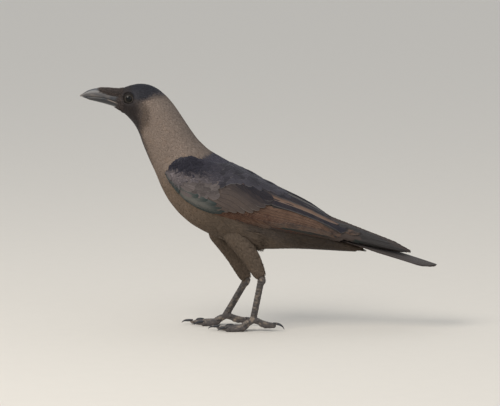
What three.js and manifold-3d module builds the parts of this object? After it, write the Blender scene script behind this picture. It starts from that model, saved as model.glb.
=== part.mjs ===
// A life-size house crow (Corvus splendens), standing still with folded wings and a closed bill.
// Millimetres, +Z up. The crow faces -X and its left side is -Y. The origin is on the floor, midway
// between the tip of the bill and the tip of the tail, in the plane that parts left from right.
// Soft outlines are the outlines of the plumage, so the solids reach as far as the feathers do.
import * as THREE from 'three';
import { mergeVertices } from 'three/addons/utils/BufferGeometryUtils.js';
import Module from 'manifold-3d';

const wasm = await Module();
wasm.setup();

// ---------- driving dimensions ----------
const HALF_LENGTH = 178.5; // from the origin to the tip of the bill, and to the tip of the tail
const GAP = 0.3; // left between pieces that touch
const FINENESS = 0.12; // facets that stand out by less than this are merged
const FOOT_SPREAD = 20; // from the middle plane to each foot

const EYE_RADIUS = 5.6;
const EYE_CENTRE = { x: -129.3, y: 8.4, z: 231.9 };

const TARSUS = { depth: 3.4, width: 2.7, joint: 4.1 };
const TOE = {
  radius: 2.9,
  flat: 0.35, // how much of its round the floor presses flat
  swell: 0.1, // of its pads, over its radius
  bends: [6.5, 11.5, 17], // how far from the joint it bends on its way down
  drops: [0.52, 0.12, 0], // how much of its drop is left at each bend
};
const CLAW = { radius: 1.9, lift: 0.8, arch: 0.9, tip: 0.4 };
const THIGH = {
  depths: [10, 14.2, 12.6, 10.2, 8.6, 7.4, 5.0], // half depths from the hip to the ankle
  flatness: 0.76, // its breadth over its depth
  inward: [12, 5.5], // how much nearer the middle plane the hip and the knee are than the ankle
  buried: 0.4, // how far it runs on inside the body, over its visible length
  calf: 1.2, // how far its middle bows back
};

const COLOURS = {
  black: { color: 0x1b1b20, roughness: 0.55, metalness: 0 },
  grey: { color: 0x7a6d66, roughness: 0.85, metalness: 0 },
  brown: { color: 0x4a3e38, roughness: 0.8, metalness: 0 },
  wing: { color: 0x2a2629, roughness: 0.5, metalness: 0 },
  horn: { color: 0x26272b, roughness: 0.32, metalness: 0 },
  leg: { color: 0x3d3935, roughness: 0.7, metalness: 0 },
  eye: { color: 0x120c0a, roughness: 0.05, metalness: 0 },
};

// Stations of the body from the lores to the tips of the undertail coverts. Each has its point on
// the back line, its point on the belly line, its half width, and how far it is fuller above (+)
// or below (-) the middle.
const BODY = [
  { name: 'lores', back: [-136.0, 241.6], belly: [-141.5, 221.8], width: 8.8, full: 0 },
  { name: 'brow', back: [-128.0, 244.4], belly: [-133.0, 215.6], width: 13.2, full: -0.06 },
  { name: 'crown', back: [-118.0, 246.2], belly: [-124.5, 206.4], width: 15.9, full: -0.08 },
  { name: 'hind_crown', back: [-107.0, 244.4], belly: [-119.5, 197.0], width: 17.2, full: -0.04 },
  { name: 'nape', back: [-96.0, 237.6], belly: [-116.5, 187.9], width: 18.4, full: 0 },
  { name: 'neck', back: [-85.5, 226.0], belly: [-112.8, 178.8], width: 20.2, full: 0.02 },
  { name: 'low_neck', back: [-75.0, 210.4], belly: [-108.5, 168.3], width: 23.2, full: 0.04 },
  { name: 'shoulder', back: [-63.0, 192.6], belly: [-103.0, 156.5], width: 27.2, full: 0.06 },
  { name: 'mantle', back: [-49.5, 179.2], belly: [-96.8, 141.0], width: 31.0, full: 0.08 },
  { name: 'breast', back: [-35.0, 171.4], belly: [-86.8, 124.0], width: 33.6, full: 0.08 },
  { name: 'back', back: [-19.0, 161.6], belly: [-71.6, 108.2], width: 34.2, full: 0.06 },
  { name: 'belly', back: [-3.0, 151.0], belly: [-54.0, 97.6], width: 32.6, full: 0.04 },
  { name: 'loin', back: [13.0, 141.0], belly: [-35.0, 89.0], width: 29.6, full: 0.02 },
  { name: 'vent', back: [31.0, 129.5], belly: [-14.0, 82.6], width: 25.6, full: 0 },
  { name: 'rump', back: [49.0, 117.8], belly: [9.0, 80.4], width: 21.2, full: 0 },
  { name: 'tail_root', back: [63.0, 108.6], belly: [31.0, 81.0], width: 17.6, full: 0 },
  { name: 'coverts', back: [77.0, 99.0], belly: [54.0, 80.3], width: 14.8, full: 0 },
  { name: 'long_coverts', back: [90.0, 90.0], belly: [80.0, 78.8], width: 11.8, full: 0 },
  { name: 'covert_tips', back: [101.5, 82.0], belly: [102.5, 77.6], width: 7.0, full: 0 },
];
const HEAD_END = 3.7; // station numbers, counted from 0, where the body is parted
const NECK_END = 7.1;

// Stations of a folded wing along X. low and high are the heights of its lower and upper edges, out
// is its widest half breadth, ridge is how far its upper edge stays from the middle plane, and
// thick is the depth of the feathers and flesh at its middle.
const WING = [
  { x: -92.5, low: 155.5, high: 163.0, out: 28.6, ridge: 23.5, thick: 6.0 },
  { x: -88.0, low: 146.0, high: 169.5, out: 31.6, ridge: 21.5, thick: 8.5 },
  { x: -80.0, low: 136.0, high: 173.6, out: 34.8, ridge: 19.0, thick: 9.5 },
  { x: -66.0, low: 126.0, high: 174.6, out: 37.6, ridge: 15.5, thick: 10.0 },
  { x: -48.0, low: 117.5, high: 172.0, out: 38.8, ridge: 10.5, thick: 10.0 },
  { x: -28.0, low: 111.5, high: 167.8, out: 38.6, ridge: 4.0, thick: 9.5 },
  { x: -8.0, low: 105.0, high: 158.6, out: 36.8, ridge: 0.8, thick: 8.5 },
  { x: 12.0, low: 100.6, high: 147.2, out: 33.8, ridge: 0.3, thick: 7.0 },
  { x: 32.0, low: 97.2, high: 137.4, out: 30.0, ridge: 0.3, thick: 6.0 },
  { x: 52.0, low: 94.0, high: 127.0, out: 26.4, ridge: 0.3, thick: 5.2 },
  { x: 72.0, low: 90.2, high: 113.2, out: 23.4, ridge: 0.3, thick: 4.4 },
  { x: 92.0, low: 86.6, high: 105.6, out: 21.2, ridge: 0.4, thick: 3.6 },
  { x: 112.0, low: 83.2, high: 97.4, out: 19.0, ridge: 0.5, thick: 3.0 },
  { x: 132.0, low: 79.6, high: 90.0, out: 16.0, ridge: 0.7, thick: 2.4 },
  { x: 146.0, low: 77.6, high: 82.4, out: 11.6, ridge: 1.6, thick: 2.0 },
  { x: 152.5, low: 76.2, high: 78.0, out: 7.0, ridge: 3.6, thick: 1.4 },
];
const WING_CUTS = [
  { low: [-27, 111], high: [9, 151] }, // parts the coverts from the secondaries
  { low: [59, 91], high: [75, 114] }, // parts the secondaries from the primaries
];

// The folded tail, a shallow roof that slopes down to a rounded tip.
const TAIL = {
  start: 70,
  ridgeHeight: 97.6, // of its upper middle line where it starts
  slope: -0.262, // of that line where it starts
  droop: -0.0004, // how the slope grows, for each mm squared
  baseWidth: 17,
  fullWidth: 24.5,
  tipLength: 34, // over which the tip rounds off
  roof: 4.2, // how much lower its sides are than its middle
  thickness: [4.2, 2.0], // at the root and at the tip
};

// Stations of the bill along X. The tomium is the line where the two halves close.
const BILL = [
  { x: -178.5, culmen: 234.6, tomium: 233.6, chin: 232.6, width: 0.5 },
  { x: -176.0, culmen: 236.3, tomium: 233.4, chin: 231.6, width: 1.3 },
  { x: -171.0, culmen: 239.2, tomium: 233.4, chin: 230.4, width: 2.6 },
  { x: -164.0, culmen: 241.4, tomium: 233.3, chin: 228.8, width: 4.1 },
  { x: -155.0, culmen: 241.7, tomium: 232.4, chin: 226.6, width: 5.8 },
  { x: -147.0, culmen: 240.6, tomium: 230.2, chin: 224.2, width: 7.0 },
  { x: -138.0, culmen: 239.8, tomium: 226.8, chin: 221.6, width: 8.2 },
  { x: -133.0, culmen: 239.4, tomium: 225.0, chin: 220.4, width: 8.6 },
];
const BILL_LOWER_TIP = -176.2;
const BILL_ROUND = 0.85; // under 1 is fuller than an ellipse

// Stations of the bristles, which lie over the root of the upper bill.
const BRISTLES = [
  { x: -157.5, top: 242.0, low: 238.8, width: 3.6 },
  { x: -154.0, top: 242.7, low: 236.4, width: 6.4 },
  { x: -148.0, top: 242.4, low: 233.8, width: 7.8 },
  { x: -141.0, top: 241.9, low: 231.6, width: 8.8 },
  { x: -134.0, top: 241.4, low: 230.0, width: 9.2 },
];

// Each leg: the knee in the flank, the ankle, the joint of the toes, and the toes' own list.
// Toes are numbered as anatomists do: 1 points back, 2 is the inner, 3 the middle, 4 the outer.
// turn is the angle from the foot's own line, towards the outside, and raised is how far the toe
// is off the floor.
const TOES = [
  { digit: 3, turn: 0, length: 37, claw: 9.5, pads: 4, raised: 0 },
  { digit: 2, turn: -24, length: 26, claw: 8.5, pads: 3, raised: 0 },
  { digit: 4, turn: 20, length: 29, claw: 8, pads: 4, raised: 0 },
  { digit: 1, turn: 183, length: 22, claw: 9.5, pads: 2, raised: 3.6 },
];
const LEGS = [
  {
    side: 'left', sign: -1, turn: -7,
    knee: [-21.0, 93.8], ankle: [2.6, 53.2], foot: [-5.6, 12.2],
  },
  {
    side: 'right', sign: 1, turn: 9,
    knee: [-34.0, 90.0], ankle: [-12.4, 46.2], foot: [-33.0, 10.8],
  },
];

// ---------- shapes ----------
// A smooth curve through values that stand at 0, 1, 2 ... along a list.
function through(values, u) {
  const i = Math.min(Math.max(Math.floor(u), 0), values.length - 2);
  const t = u - i;
  const [a, b, c, d] = [-1, 0, 1, 2].map((k) => {
    const j = i + k;
    if (j < 0) return 2 * values[0] - values[1];
    if (j >= values.length) return 2 * values.at(-1) - values.at(-2);
    return values[j];
  });
  return b + 0.5 * t * (c - a + t * (2 * a - 5 * b + 4 * c - d + t * (3 * (b - c) + d - a)));
}

// The station number at which a list of stations reaches a given x.
function stationAt(stations, x) {
  const i = Math.min(
    Math.max(stations.findIndex((s) => s.x > x) - 1, 0),
    stations.length - 2,
  );
  const next = stations.at(-1).x <= x ? stations.length - 2 : i;
  return next + (x - stations[next].x) / (stations[next + 1].x - stations[next].x);
}

// A closed surface through rings of equal length, each end closed by a fan on the ring's centre.
function loft(rings) {
  const count = rings[0].length;
  const points = rings.flat();
  const faces = [];
  for (let r = 0; r < rings.length - 1; r += 1) {
    for (let k = 0; k < count; k += 1) {
      const a = r * count + k;
      const b = r * count + ((k + 1) % count);
      faces.push(a, b, b + count, a, b + count, a + count);
    }
  }
  [0, rings.length - 1].forEach((r) => {
    const centre = rings[r]
      .reduce((sum, p) => sum.add(p), new THREE.Vector3())
      .divideScalar(count);
    points.push(centre);
    for (let k = 0; k < count; k += 1) {
      const a = r * count + k;
      const b = r * count + ((k + 1) % count);
      faces.push(...(r === 0 ? [points.length - 1, b, a] : [points.length - 1, a, b]));
    }
  });
  const geometry = new THREE.BufferGeometry().setFromPoints(points);
  geometry.setIndex(faces);
  return solid(geometry);
}

// A manifold-3d solid from a closed geometry, turned the right way out.
function solid(geometry) {
  const bare = geometry.clone();
  bare.deleteAttribute('normal');
  bare.deleteAttribute('uv');
  const merged = mergeVertices(bare, 1e-4);
  const build = (triVerts) => new wasm.Manifold(new wasm.Mesh({
    numProp: 3,
    vertProperties: merged.attributes.position.array,
    triVerts,
  }));
  const made = build(new Uint32Array(merged.index.array));
  return made.volume() > 0 ? made : build(new Uint32Array(merged.index.array).reverse());
}

function ball(x, y, z, radius, detail = 16) {
  const shape = new THREE.SphereGeometry(radius, detail, Math.round(detail * 0.7));
  return solid(shape.translate(x, y, z));
}

// A slab of the GAP's thickness that runs through the whole crow, standing on a line in the XZ plane.
function slab(low, high) {
  const [dx, dz] = [high[0] - low[0], high[1] - low[1]];
  const shape = new THREE.BoxGeometry(GAP, 200, 3 * Math.hypot(dx, dz));
  shape.rotateY(Math.atan2(dx, dz));
  return solid(shape.translate((low[0] + high[0]) / 2, 0, (low[1] + high[1]) / 2));
}

// The largest piece of a cut solid: the rest are crumbs that the cut left.
function largest(shape) {
  return shape.simplify(FINENESS).decompose().sort((a, b) => b.volume() - a.volume())[0];
}

const group = new THREE.Group();
function add(name, finish, shape) {
  const { numProp, vertProperties, triVerts } = largest(shape).getMesh();
  const geometry = new THREE.BufferGeometry();
  const positions = new Float32Array((vertProperties.length / numProp) * 3);
  for (let i = 0; i < positions.length / 3; i += 1) {
    positions.set(vertProperties.subarray(i * numProp, i * numProp + 3), i * 3);
  }
  geometry.setAttribute('position', new THREE.BufferAttribute(positions, 3));
  geometry.setIndex(new THREE.BufferAttribute(triVerts, 1));
  const mesh = new THREE.Mesh(geometry, new THREE.MeshStandardMaterial(COLOURS[finish]));
  mesh.name = name;
  group.add(mesh);
}

// ---------- head, neck and trunk ----------
function bodyRing(u, grow, sides) {
  const column = (pick) => through(BODY.map(pick), u);
  const back = new THREE.Vector3(column((s) => s.back[0]), 0, column((s) => s.back[1]));
  const belly = new THREE.Vector3(column((s) => s.belly[0]), 0, column((s) => s.belly[1]));
  const centre = back.clone().add(belly).divideScalar(2);
  const up = back.clone().sub(belly).divideScalar(2);
  up.setLength(up.length() + grow);
  const width = column((s) => s.width) + grow;
  const full = column((s) => s.full);
  return Array.from({ length: sides }, (_, k) => {
    const angle = (2 * Math.PI * k) / sides;
    const point = centre.clone().addScaledVector(up, Math.cos(angle));
    point.y = width * Math.sin(angle) * (1 + full * Math.cos(angle));
    return point;
  });
}

function bodyPart(from, to, { grow = 0, sides = 20, step = 0.5 } = {}) {
  const count = Math.max(2, Math.round((to - from) / step));
  const rings = Array.from({ length: count + 1 }, (_, i) => {
    return bodyRing(from + ((to - from) * i) / count, grow, sides);
  });
  return loft(rings);
}

// The station numbers are about 10 mm apart, so this share of one leaves the GAP.
const SHARE_OF_GAP = GAP / 10;
const LAST = BODY.length - 1;
const headWhole = bodyPart(0, HEAD_END, { step: 0.46 });
const neckWhole = bodyPart(HEAD_END + SHARE_OF_GAP, NECK_END, { step: 0.68 });
const trunkWhole = bodyPart(NECK_END + SHARE_OF_GAP, LAST, { step: 0.78 });
// The same two parts grown: a room is cut with their own facets, so no facet stands in a neighbour.
const bodyRoomOf = (grow) => bodyPart(HEAD_END + SHARE_OF_GAP, NECK_END, { grow, step: 0.68 })
  .add(bodyPart(NECK_END, LAST, { grow, step: 0.78 }));
const bodyRoom = bodyRoomOf(GAP);

// ---------- tail ----------
function tailRing(x, grow) {
  const run = (x - TAIL.start) / (HALF_LENGTH - TAIL.start);
  const tip = Math.min(1, (HALF_LENGTH - x) / TAIL.tipLength);
  const spread = TAIL.baseWidth + (TAIL.fullWidth - TAIL.baseWidth) * Math.min(1, run * 2.2);
  const width = spread * Math.sqrt(Math.max(1 - (1 - tip) ** 2.4, 0.006)) + grow;
  const thickness = THREE.MathUtils.lerp(...TAIL.thickness, run) + 2 * grow;
  const from = x - TAIL.start;
  const ridge = TAIL.ridgeHeight + TAIL.slope * from + TAIL.droop * from ** 2 + grow;
  const steps = 6;
  const roofAt = (y) => ridge - TAIL.roof * (Math.abs(y) / TAIL.fullWidth) ** 1.5;
  const top = Array.from({ length: steps + 1 }, (_, k) => {
    const y = width * Math.sin((Math.PI / 2) * ((2 * k) / steps - 1));
    return new THREE.Vector3(x, y, roofAt(y));
  });
  const under = top.map((p) => {
    const edge = Math.sqrt(Math.max(1 - (p.y / width) ** 2, 0));
    return new THREE.Vector3(x, p.y * 0.97, p.z - thickness * (0.45 + 0.55 * edge));
  });
  return [...top, ...under.reverse()];
}

function tailShape(grow = 0) {
  const count = 14;
  return loft(Array.from({ length: count + 1 }, (_, i) => {
    // Rings stand closer together towards the rounded tip.
    const share = Math.sin((Math.PI / 2) * (i / count));
    return tailRing(TAIL.start - grow + (HALF_LENGTH - TAIL.start) * share, grow);
  }));
}
const tailRoom = tailShape(GAP);

// ---------- wings ----------
// A crescent that leans over the back. Its outer line runs from the lower edge out to the widest
// point, as a shallow quarter of an ellipse, and on to the upper edge as a deep one. Its inner line
// is the same, closer in by the thickness, which tapers to the edges.
const WIDEST_SHARE = 0.3; // how far up the wing its widest point is
const EDGE_TUCK = 0.45; // how far the lower edge turns in, as a share of the wing's breadth
function wingRing(sign, x, grow) {
  const u = stationAt(WING, x);
  const at = (key) => through(WING.map((s) => s[key]), u);
  const [low, high] = [at('low') - grow, at('high') + grow];
  const [out, ridge, thick] = [at('out') + grow, at('ridge') - grow, at('thick')];
  const widest = low + (high - low) * WIDEST_SHARE;
  const steps = 7;
  const line = (depth) => Array.from({ length: steps + 1 }, (_, k) => {
    const angle = -Math.PI / 2 + (Math.PI * k) / steps;
    const rising = angle > 0;
    const breadth = rising ? out - ridge : (out - ridge) * EDGE_TUCK;
    const inner = rising ? ridge : out - breadth;
    const reach = rising ? high - widest : widest - low;
    const taper = 1 - 0.75 * Math.abs(angle / (Math.PI / 2)) ** 2;
    const y = inner + breadth * Math.cos(angle) - depth * taper * Math.cos(angle * 0.7);
    const z = widest + reach * Math.sin(angle) - depth * taper * Math.sin(angle * 0.7);
    return new THREE.Vector3(x, sign * Math.max(y, GAP / 2), z);
  });
  return [...line(0), ...line(thick).reverse()];
}

// A wing is that crescent and, where the crescent sinks into the trunk, a sheet over the trunk's own
// surface, so that its upper edge stays clear of the trunk all along.
const SHEET = 2; // the sheet's outer face over the trunk
const SHEET_INSET = [2.5, 1]; // how far inside the crescent's outline it keeps, below and above
const SHEET_ENDS = 2; // how many stations before the wing's tip it stops
function wingShape(sign, grow = 0) {
  const count = 15;
  const [start, end] = [WING[0].x - grow, WING.at(-1).x + grow];
  const crescent = loft(Array.from({ length: count + 1 }, (_, i) => {
    return wingRing(sign, start + ((end - start) * i) / count, grow);
  }));
  const outline = (key, inset) => WING.slice(0, -SHEET_ENDS).map((s) => [s.x, s[key] + inset]);
  const edge = [
    ...outline('low', SHEET_INSET[0] - grow),
    ...outline('high', grow - SHEET_INSET[1]).reverse(),
  ];
  const outlineShape = new THREE.Shape(edge.map(([x, z]) => new THREE.Vector2(x, z)));
  const depth = 100;
  const prism = new THREE.ExtrudeGeometry(outlineShape, { depth, bevelEnabled: false });
  prism.rotateX(Math.PI / 2).translate(0, sign < 0 ? -GAP / 2 : depth + GAP / 2, 0);
  return crescent.add(solid(prism).intersect(bodyRoomOf(SHEET + grow)));
}

// The pieces that the cuts make of a wing, from the wrist to the tip.
function partedWing(sign) {
  const parts = WING_CUTS.reduce(
    (shape, cut) => shape.subtract(slab(cut.low, cut.high)),
    wingShape(sign).subtract(bodyRoom).subtract(tailRoom),
  );
  const middle = (shape) => {
    const { min, max } = shape.boundingBox();
    return (min[0] + max[0]) / 2;
  };
  return parts
    .decompose()
    .sort((a, b) => b.volume() - a.volume())
    .slice(0, WING_CUTS.length + 1)
    .sort((a, b) => middle(a) - middle(b));
}

// ---------- bill and eyes ----------
// One half of the bill: side 1 is the upper, from the tomium to the culmen, and -1 the lower.
function billHalf(side, { tip = -HALF_LENGTH, end = BILL.at(-1).x, grow = 0 } = {}) {
  const steps = 7;
  const count = 10;
  const rings = Array.from({ length: count + 1 }, (_, i) => {
    const x = tip + (end - tip) * (i / count) ** 1.4;
    const u = stationAt(BILL, x);
    const at = (key) => through(BILL.map((s) => s[key]), u);
    const width = at('width') + grow;
    const base = at('tomium') + side * (side > 0 ? -grow : GAP - grow);
    const rise = Math.abs(at(side > 0 ? 'culmen' : 'chin') - base) + grow;
    return Array.from({ length: steps + 1 }, (_, k) => {
      const angle = (Math.PI * k) / steps;
      const y = width * Math.cos(angle);
      return new THREE.Vector3(x, y, base + side * rise * Math.sin(angle) ** BILL_ROUND);
    });
  });
  return loft(rings);
}

// The bristles that cover the nostrils and the root of the upper bill.
function nasalBristles() {
  const rings = BRISTLES.map((s) => {
    const sides = 12;
    const half = (s.top - s.low) / 2;
    return Array.from({ length: sides }, (_, k) => {
      const angle = (2 * Math.PI * k) / sides;
      return new THREE.Vector3(s.x, s.width * Math.sin(angle), s.low + half + half * Math.cos(angle));
    });
  });
  return loft(rings);
}

// ---------- legs ----------
// A limb along a smooth curve. side is the direction across it, and radii gives its half depth and
// half breadth at a share of its length. reaches, for a straight limb alone, are the distances from
// its first point at which its rings stand.
function limb(points, side, radii, { count = 12, sides = 12, grow = 0, reaches } = {}) {
  const curve = new THREE.CatmullRomCurve3(points, false, 'centripetal');
  const length = points[0].distanceTo(points.at(-1));
  const shares = reaches
    ? reaches.map((reach) => reach / length)
    : Array.from({ length: count + 1 }, (_, i) => i / count);
  return loft(shares.map((t) => {
    const centre = reaches
      ? points[0].clone().lerp(points.at(-1), t)
      : curve.getPoint(t);
    const along = curve.getTangent(THREE.MathUtils.clamp(t, 0, 1));
    const up = new THREE.Vector3().crossVectors(along, side).normalize();
    const [depth, breadth] = radii(t, t * length).map((r) => r + grow);
    return Array.from({ length: sides }, (_, k) => {
      const angle = (2 * Math.PI * k) / sides;
      return centre
        .clone()
        .addScaledVector(up, depth * Math.cos(angle))
        .addScaledVector(side, breadth * Math.sin(angle));
    });
  }));
}

const ACROSS = new THREE.Vector3(0, 1, 0);

function thigh(leg) {
  const y = leg.sign * FOOT_SPREAD;
  const ankle = new THREE.Vector3(leg.ankle[0], y, leg.ankle[1]);
  const knee = new THREE.Vector3(leg.knee[0], y, leg.knee[1]);
  const hip = knee.clone().lerp(ankle, -THIGH.buried);
  hip.y -= leg.sign * THIGH.inward[0];
  knee.y -= leg.sign * THIGH.inward[1];
  const belly = knee.clone().lerp(ankle, 0.55).add(new THREE.Vector3(THIGH.calf, 0, 0));
  return limb([hip, knee, belly, ankle], ACROSS, (t) => {
    const depth = through(THIGH.depths, t * (THIGH.depths.length - 1));
    return [depth, depth * THIGH.flatness];
  }, { count: 8, sides: 12 });
}

// The shank: a shaft between two round joints.
function tarsus(leg, grow = 0) {
  const y = leg.sign * FOOT_SPREAD;
  const ankle = new THREE.Vector3(leg.ankle[0], y, leg.ankle[1]);
  const foot = new THREE.Vector3(leg.foot[0], y, leg.foot[1]);
  const length = ankle.distanceTo(foot);
  const ends = [-0.94, -0.55, 0.1, 0.75, 1.6].map((share) => share * TARSUS.joint);
  const reaches = [...ends, length / 2, ...ends.map((reach) => length - reach).reverse()];
  return limb([ankle, foot], ACROSS, (t, reach) => {
    const off = Math.min(Math.abs(reach), Math.abs(length - reach));
    const ball = Math.sqrt(Math.max(TARSUS.joint ** 2 - off ** 2, 0));
    const onShaft = reach > 0 && reach < length;
    return [TARSUS.depth, TARSUS.width].map((r) => Math.max(ball, onShaft ? r : 0));
  }, { reaches, sides: 9, grow });
}

function toeLine(leg, toe) {
  const turn = THREE.MathUtils.degToRad(leg.turn + toe.turn);
  const ahead = new THREE.Vector3(-Math.cos(turn), leg.sign * Math.sin(turn), 0);
  const across = new THREE.Vector3(-ahead.y, ahead.x, 0);
  const root = new THREE.Vector3(leg.foot[0], leg.sign * FOOT_SPREAD, 0);
  const at = (reach, height) => root.clone().addScaledVector(ahead, reach).setZ(height);
  return { across, at };
}

function toeShape(leg, toe, grow = 0) {
  const { across, at } = toeLine(leg, toe);
  const low = TOE.radius - TOE.flat + toe.raised;
  const drop = leg.foot[1] - 1 - low;
  const points = [
    at(0, low + drop),
    ...TOE.bends.map((reach, i) => at(reach, low + drop * TOE.drops[i])),
    at(toe.length + grow, low),
  ];
  return limb(points, across, (t) => {
    const pad = 1 + TOE.swell * Math.cos(2 * Math.PI * toe.pads * (1 - t));
    const end = Math.sqrt(Math.max(1 - Math.max(0, (t - 0.93) / 0.07) ** 2, 0.1));
    const radius = THREE.MathUtils.lerp(1.14, 0.88, t) * TOE.radius * pad * end;
    return [radius, radius];
  }, { count: 2 * toe.pads + 3, sides: 7, grow }).subtract(floor);
}

function clawShape(leg, toe) {
  const { across, at } = toeLine(leg, toe);
  const root = TOE.radius - TOE.flat + toe.raised + CLAW.lift;
  const points = [
    at(toe.length - 3, root),
    at(toe.length + 0.3 * toe.claw, root + CLAW.arch - 0.1 * toe.raised),
    at(toe.length + 0.75 * toe.claw, root - 0.5 * toe.raised),
    at(toe.length + toe.claw, CLAW.tip),
  ];
  return limb(points, across, (t) => {
    const radius = THREE.MathUtils.lerp(CLAW.radius, CLAW.tip, t ** 1.1);
    return [radius * 1.15, radius * 0.85];
  }, { count: 4, sides: 5 }).subtract(floor);
}

// ---------- build ----------
const floor = solid(new THREE.BoxGeometry(600, 200, 40).translate(0, 0, -20));
const eyes = [-1, 1].map((sign) => ({
  side: sign < 0 ? 'left' : 'right',
  shape: ball(EYE_CENTRE.x, sign * EYE_CENTRE.y, EYE_CENTRE.z, EYE_RADIUS, 12),
  socket: ball(EYE_CENTRE.x, sign * EYE_CENTRE.y, EYE_CENTRE.z, EYE_RADIUS + GAP, 12),
}));
const headRoom = bodyPart(-SHARE_OF_GAP, HEAD_END, { grow: GAP, step: 0.46 });

add('head', 'black', eyes.reduce((shape, eye) => shape.subtract(eye.socket), headWhole));
add('neck', 'grey', neckWhole);
add('trunk', 'brown', trunkWhole.subtract(tailRoom));
add('tail', 'wing', tailShape());
eyes.forEach((eye) => add(`eye_${eye.side}`, 'eye', eye.shape));

const billRoom = billHalf(1, { grow: GAP });
add('bill_upper', 'horn', billHalf(1).subtract(headRoom));
add('bill_lower', 'horn', billHalf(-1, { tip: BILL_LOWER_TIP }).subtract(headRoom));
add('nasal_bristles', 'black', nasalBristles().subtract(billRoom).subtract(headRoom));

LEGS.forEach((leg) => {
  const wingNames = ['coverts', 'secondaries', 'primaries'];
  partedWing(leg.sign).forEach((piece, i) => {
    add(`wing_${leg.side}_${wingNames[i]}`, 'wing', piece);
  });

  const tarsusRoom = tarsus(leg, GAP);
  const legRoom = bodyRoom.add(wingShape(leg.sign, GAP)).add(tarsusRoom);
  add(`thigh_${leg.side}`, 'brown', thigh(leg).subtract(legRoom));
  add(`tarsus_${leg.side}`, 'leg', tarsus(leg));

  let taken = tarsusRoom;
  TOES.forEach((toe) => {
    add(`toe_${leg.side}_${toe.digit}`, 'leg', toeShape(leg, toe).subtract(taken));
    const toeRoom = toeShape(leg, toe, GAP);
    add(`claw_${leg.side}_${toe.digit}`, 'horn', clawShape(leg, toe).subtract(toeRoom));
    taken = taken.add(toeRoom);
  });
});

export default group;
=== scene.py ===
"""A life-size house crow in its plumage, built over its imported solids.

The crow faces -X, its left side is -Y and +Z is up. Sizes are metres unless a name ends in _mm.
Feathers are laid on two kinds of sheet: the outer face of the plumage, which is the smoothed
outline of the solids, and the outer face of each folded wing and of the tail.
"""

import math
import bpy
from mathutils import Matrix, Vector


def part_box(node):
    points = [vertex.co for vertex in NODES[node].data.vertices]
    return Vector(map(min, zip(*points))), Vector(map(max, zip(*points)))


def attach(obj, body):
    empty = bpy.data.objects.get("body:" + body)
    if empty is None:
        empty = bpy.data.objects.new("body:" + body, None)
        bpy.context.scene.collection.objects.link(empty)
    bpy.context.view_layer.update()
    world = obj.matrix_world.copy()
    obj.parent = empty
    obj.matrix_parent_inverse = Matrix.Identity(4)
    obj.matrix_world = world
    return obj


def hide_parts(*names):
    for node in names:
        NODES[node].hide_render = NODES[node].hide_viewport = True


bl_info = {
    "name": "House crow",
    "version": (1, 0, 0),
    "blender": (4, 5, 0),
    "location": "3D View > Sidebar > Crow",
    "description": "Skin, plumage, bill, eyes and feet of a standing house crow",
    "category": "Object",
}

from dataclasses import dataclass
from functools import cache

import bmesh
import bpy
import numpy as np
from mathutils import Vector
from mathutils.bvhtree import BVHTree

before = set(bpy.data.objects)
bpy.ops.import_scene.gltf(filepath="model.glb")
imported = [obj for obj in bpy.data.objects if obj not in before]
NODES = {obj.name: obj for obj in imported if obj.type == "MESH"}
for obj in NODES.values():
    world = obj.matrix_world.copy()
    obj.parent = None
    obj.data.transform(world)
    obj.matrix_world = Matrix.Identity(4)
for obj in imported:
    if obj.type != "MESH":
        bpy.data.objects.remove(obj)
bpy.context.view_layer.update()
MM = 0.001
BODY = "root"
SIDES = {"left": -1, "right": 1}
UP = np.array([0.0, 0.0, 1.0])
DIGITS = (1, 2, 3, 4)
SWELL = 0.0003  # how far solids swell so that the gaps between them close
NUDGE = 1e-5  # how far inside a face a ray into the shell starts
UNDER_COAT = 0.00025  # how far the skin lies under the outline everywhere
LOWEST_SKIN, LOWEST_CLAW = 0.00004, 0.00005


# ---------- small helpers ----------
def unit(vectors):
    """Vectors of length 1 along the last axis."""
    return vectors / np.maximum(np.linalg.norm(vectors, axis=-1, keepdims=True), 1e-12)


def smoothstep(values, low, high):
    """0 below low, 1 above high, and a soft rise between them."""
    t = np.clip((np.asarray(values, float) - low) / (high - low), 0, 1)
    return t * t * (3 - 2 * t)


def curve_through(points, share):
    """Places on a smooth line through points, at shares from 0 to 1 of the way along it."""
    points = np.asarray(points, float)
    ends = np.vstack([2 * points[0] - points[1], points, 2 * points[-1] - points[-2]])
    u = np.clip(share, 0, 1) * (len(points) - 1)
    i = np.minimum(u.astype(int), len(points) - 2)
    t = (u - i)[..., None]
    a, b, c, d = (ends[i + k] for k in range(4))
    return b + 0.5 * t * (c - a + t * (2 * a - 5 * b + 4 * c - d + t * (3 * (b - c) + d - a)))


def rows_of(block, key, width=3, kind=float):
    """The numbers that a mesh keeps for each corner, edge or face, a row for each."""
    values = np.empty(len(block) * width, kind)
    block.foreach_get(key, values)
    return values.reshape(-1, width)


def place_corners(mesh, places):
    """Moves every corner of a mesh."""
    mesh.vertices.foreach_set("co", np.asarray(places, np.float32).ravel())


def node_arrays(names):
    """The merged corners and triangles of some solids, and which solid each triangle is of."""
    corners, faces, owner, offset = [], [], [], 0
    for index, name in enumerate(names):
        mesh = NODES[name].data
        mesh.calc_loop_triangles()
        triangles = rows_of(mesh.loop_triangles, "vertices", 3, int)
        places = rows_of(mesh.vertices, "co").round(7)
        places, back = np.unique(places, axis=0, return_inverse=True)
        corners.append(places)
        faces.append(back.reshape(-1)[triangles] + offset)
        owner.append(np.full(len(triangles), index))
        offset += len(places)
    return np.vstack(corners), np.vstack(faces), np.concatenate(owner)


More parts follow.
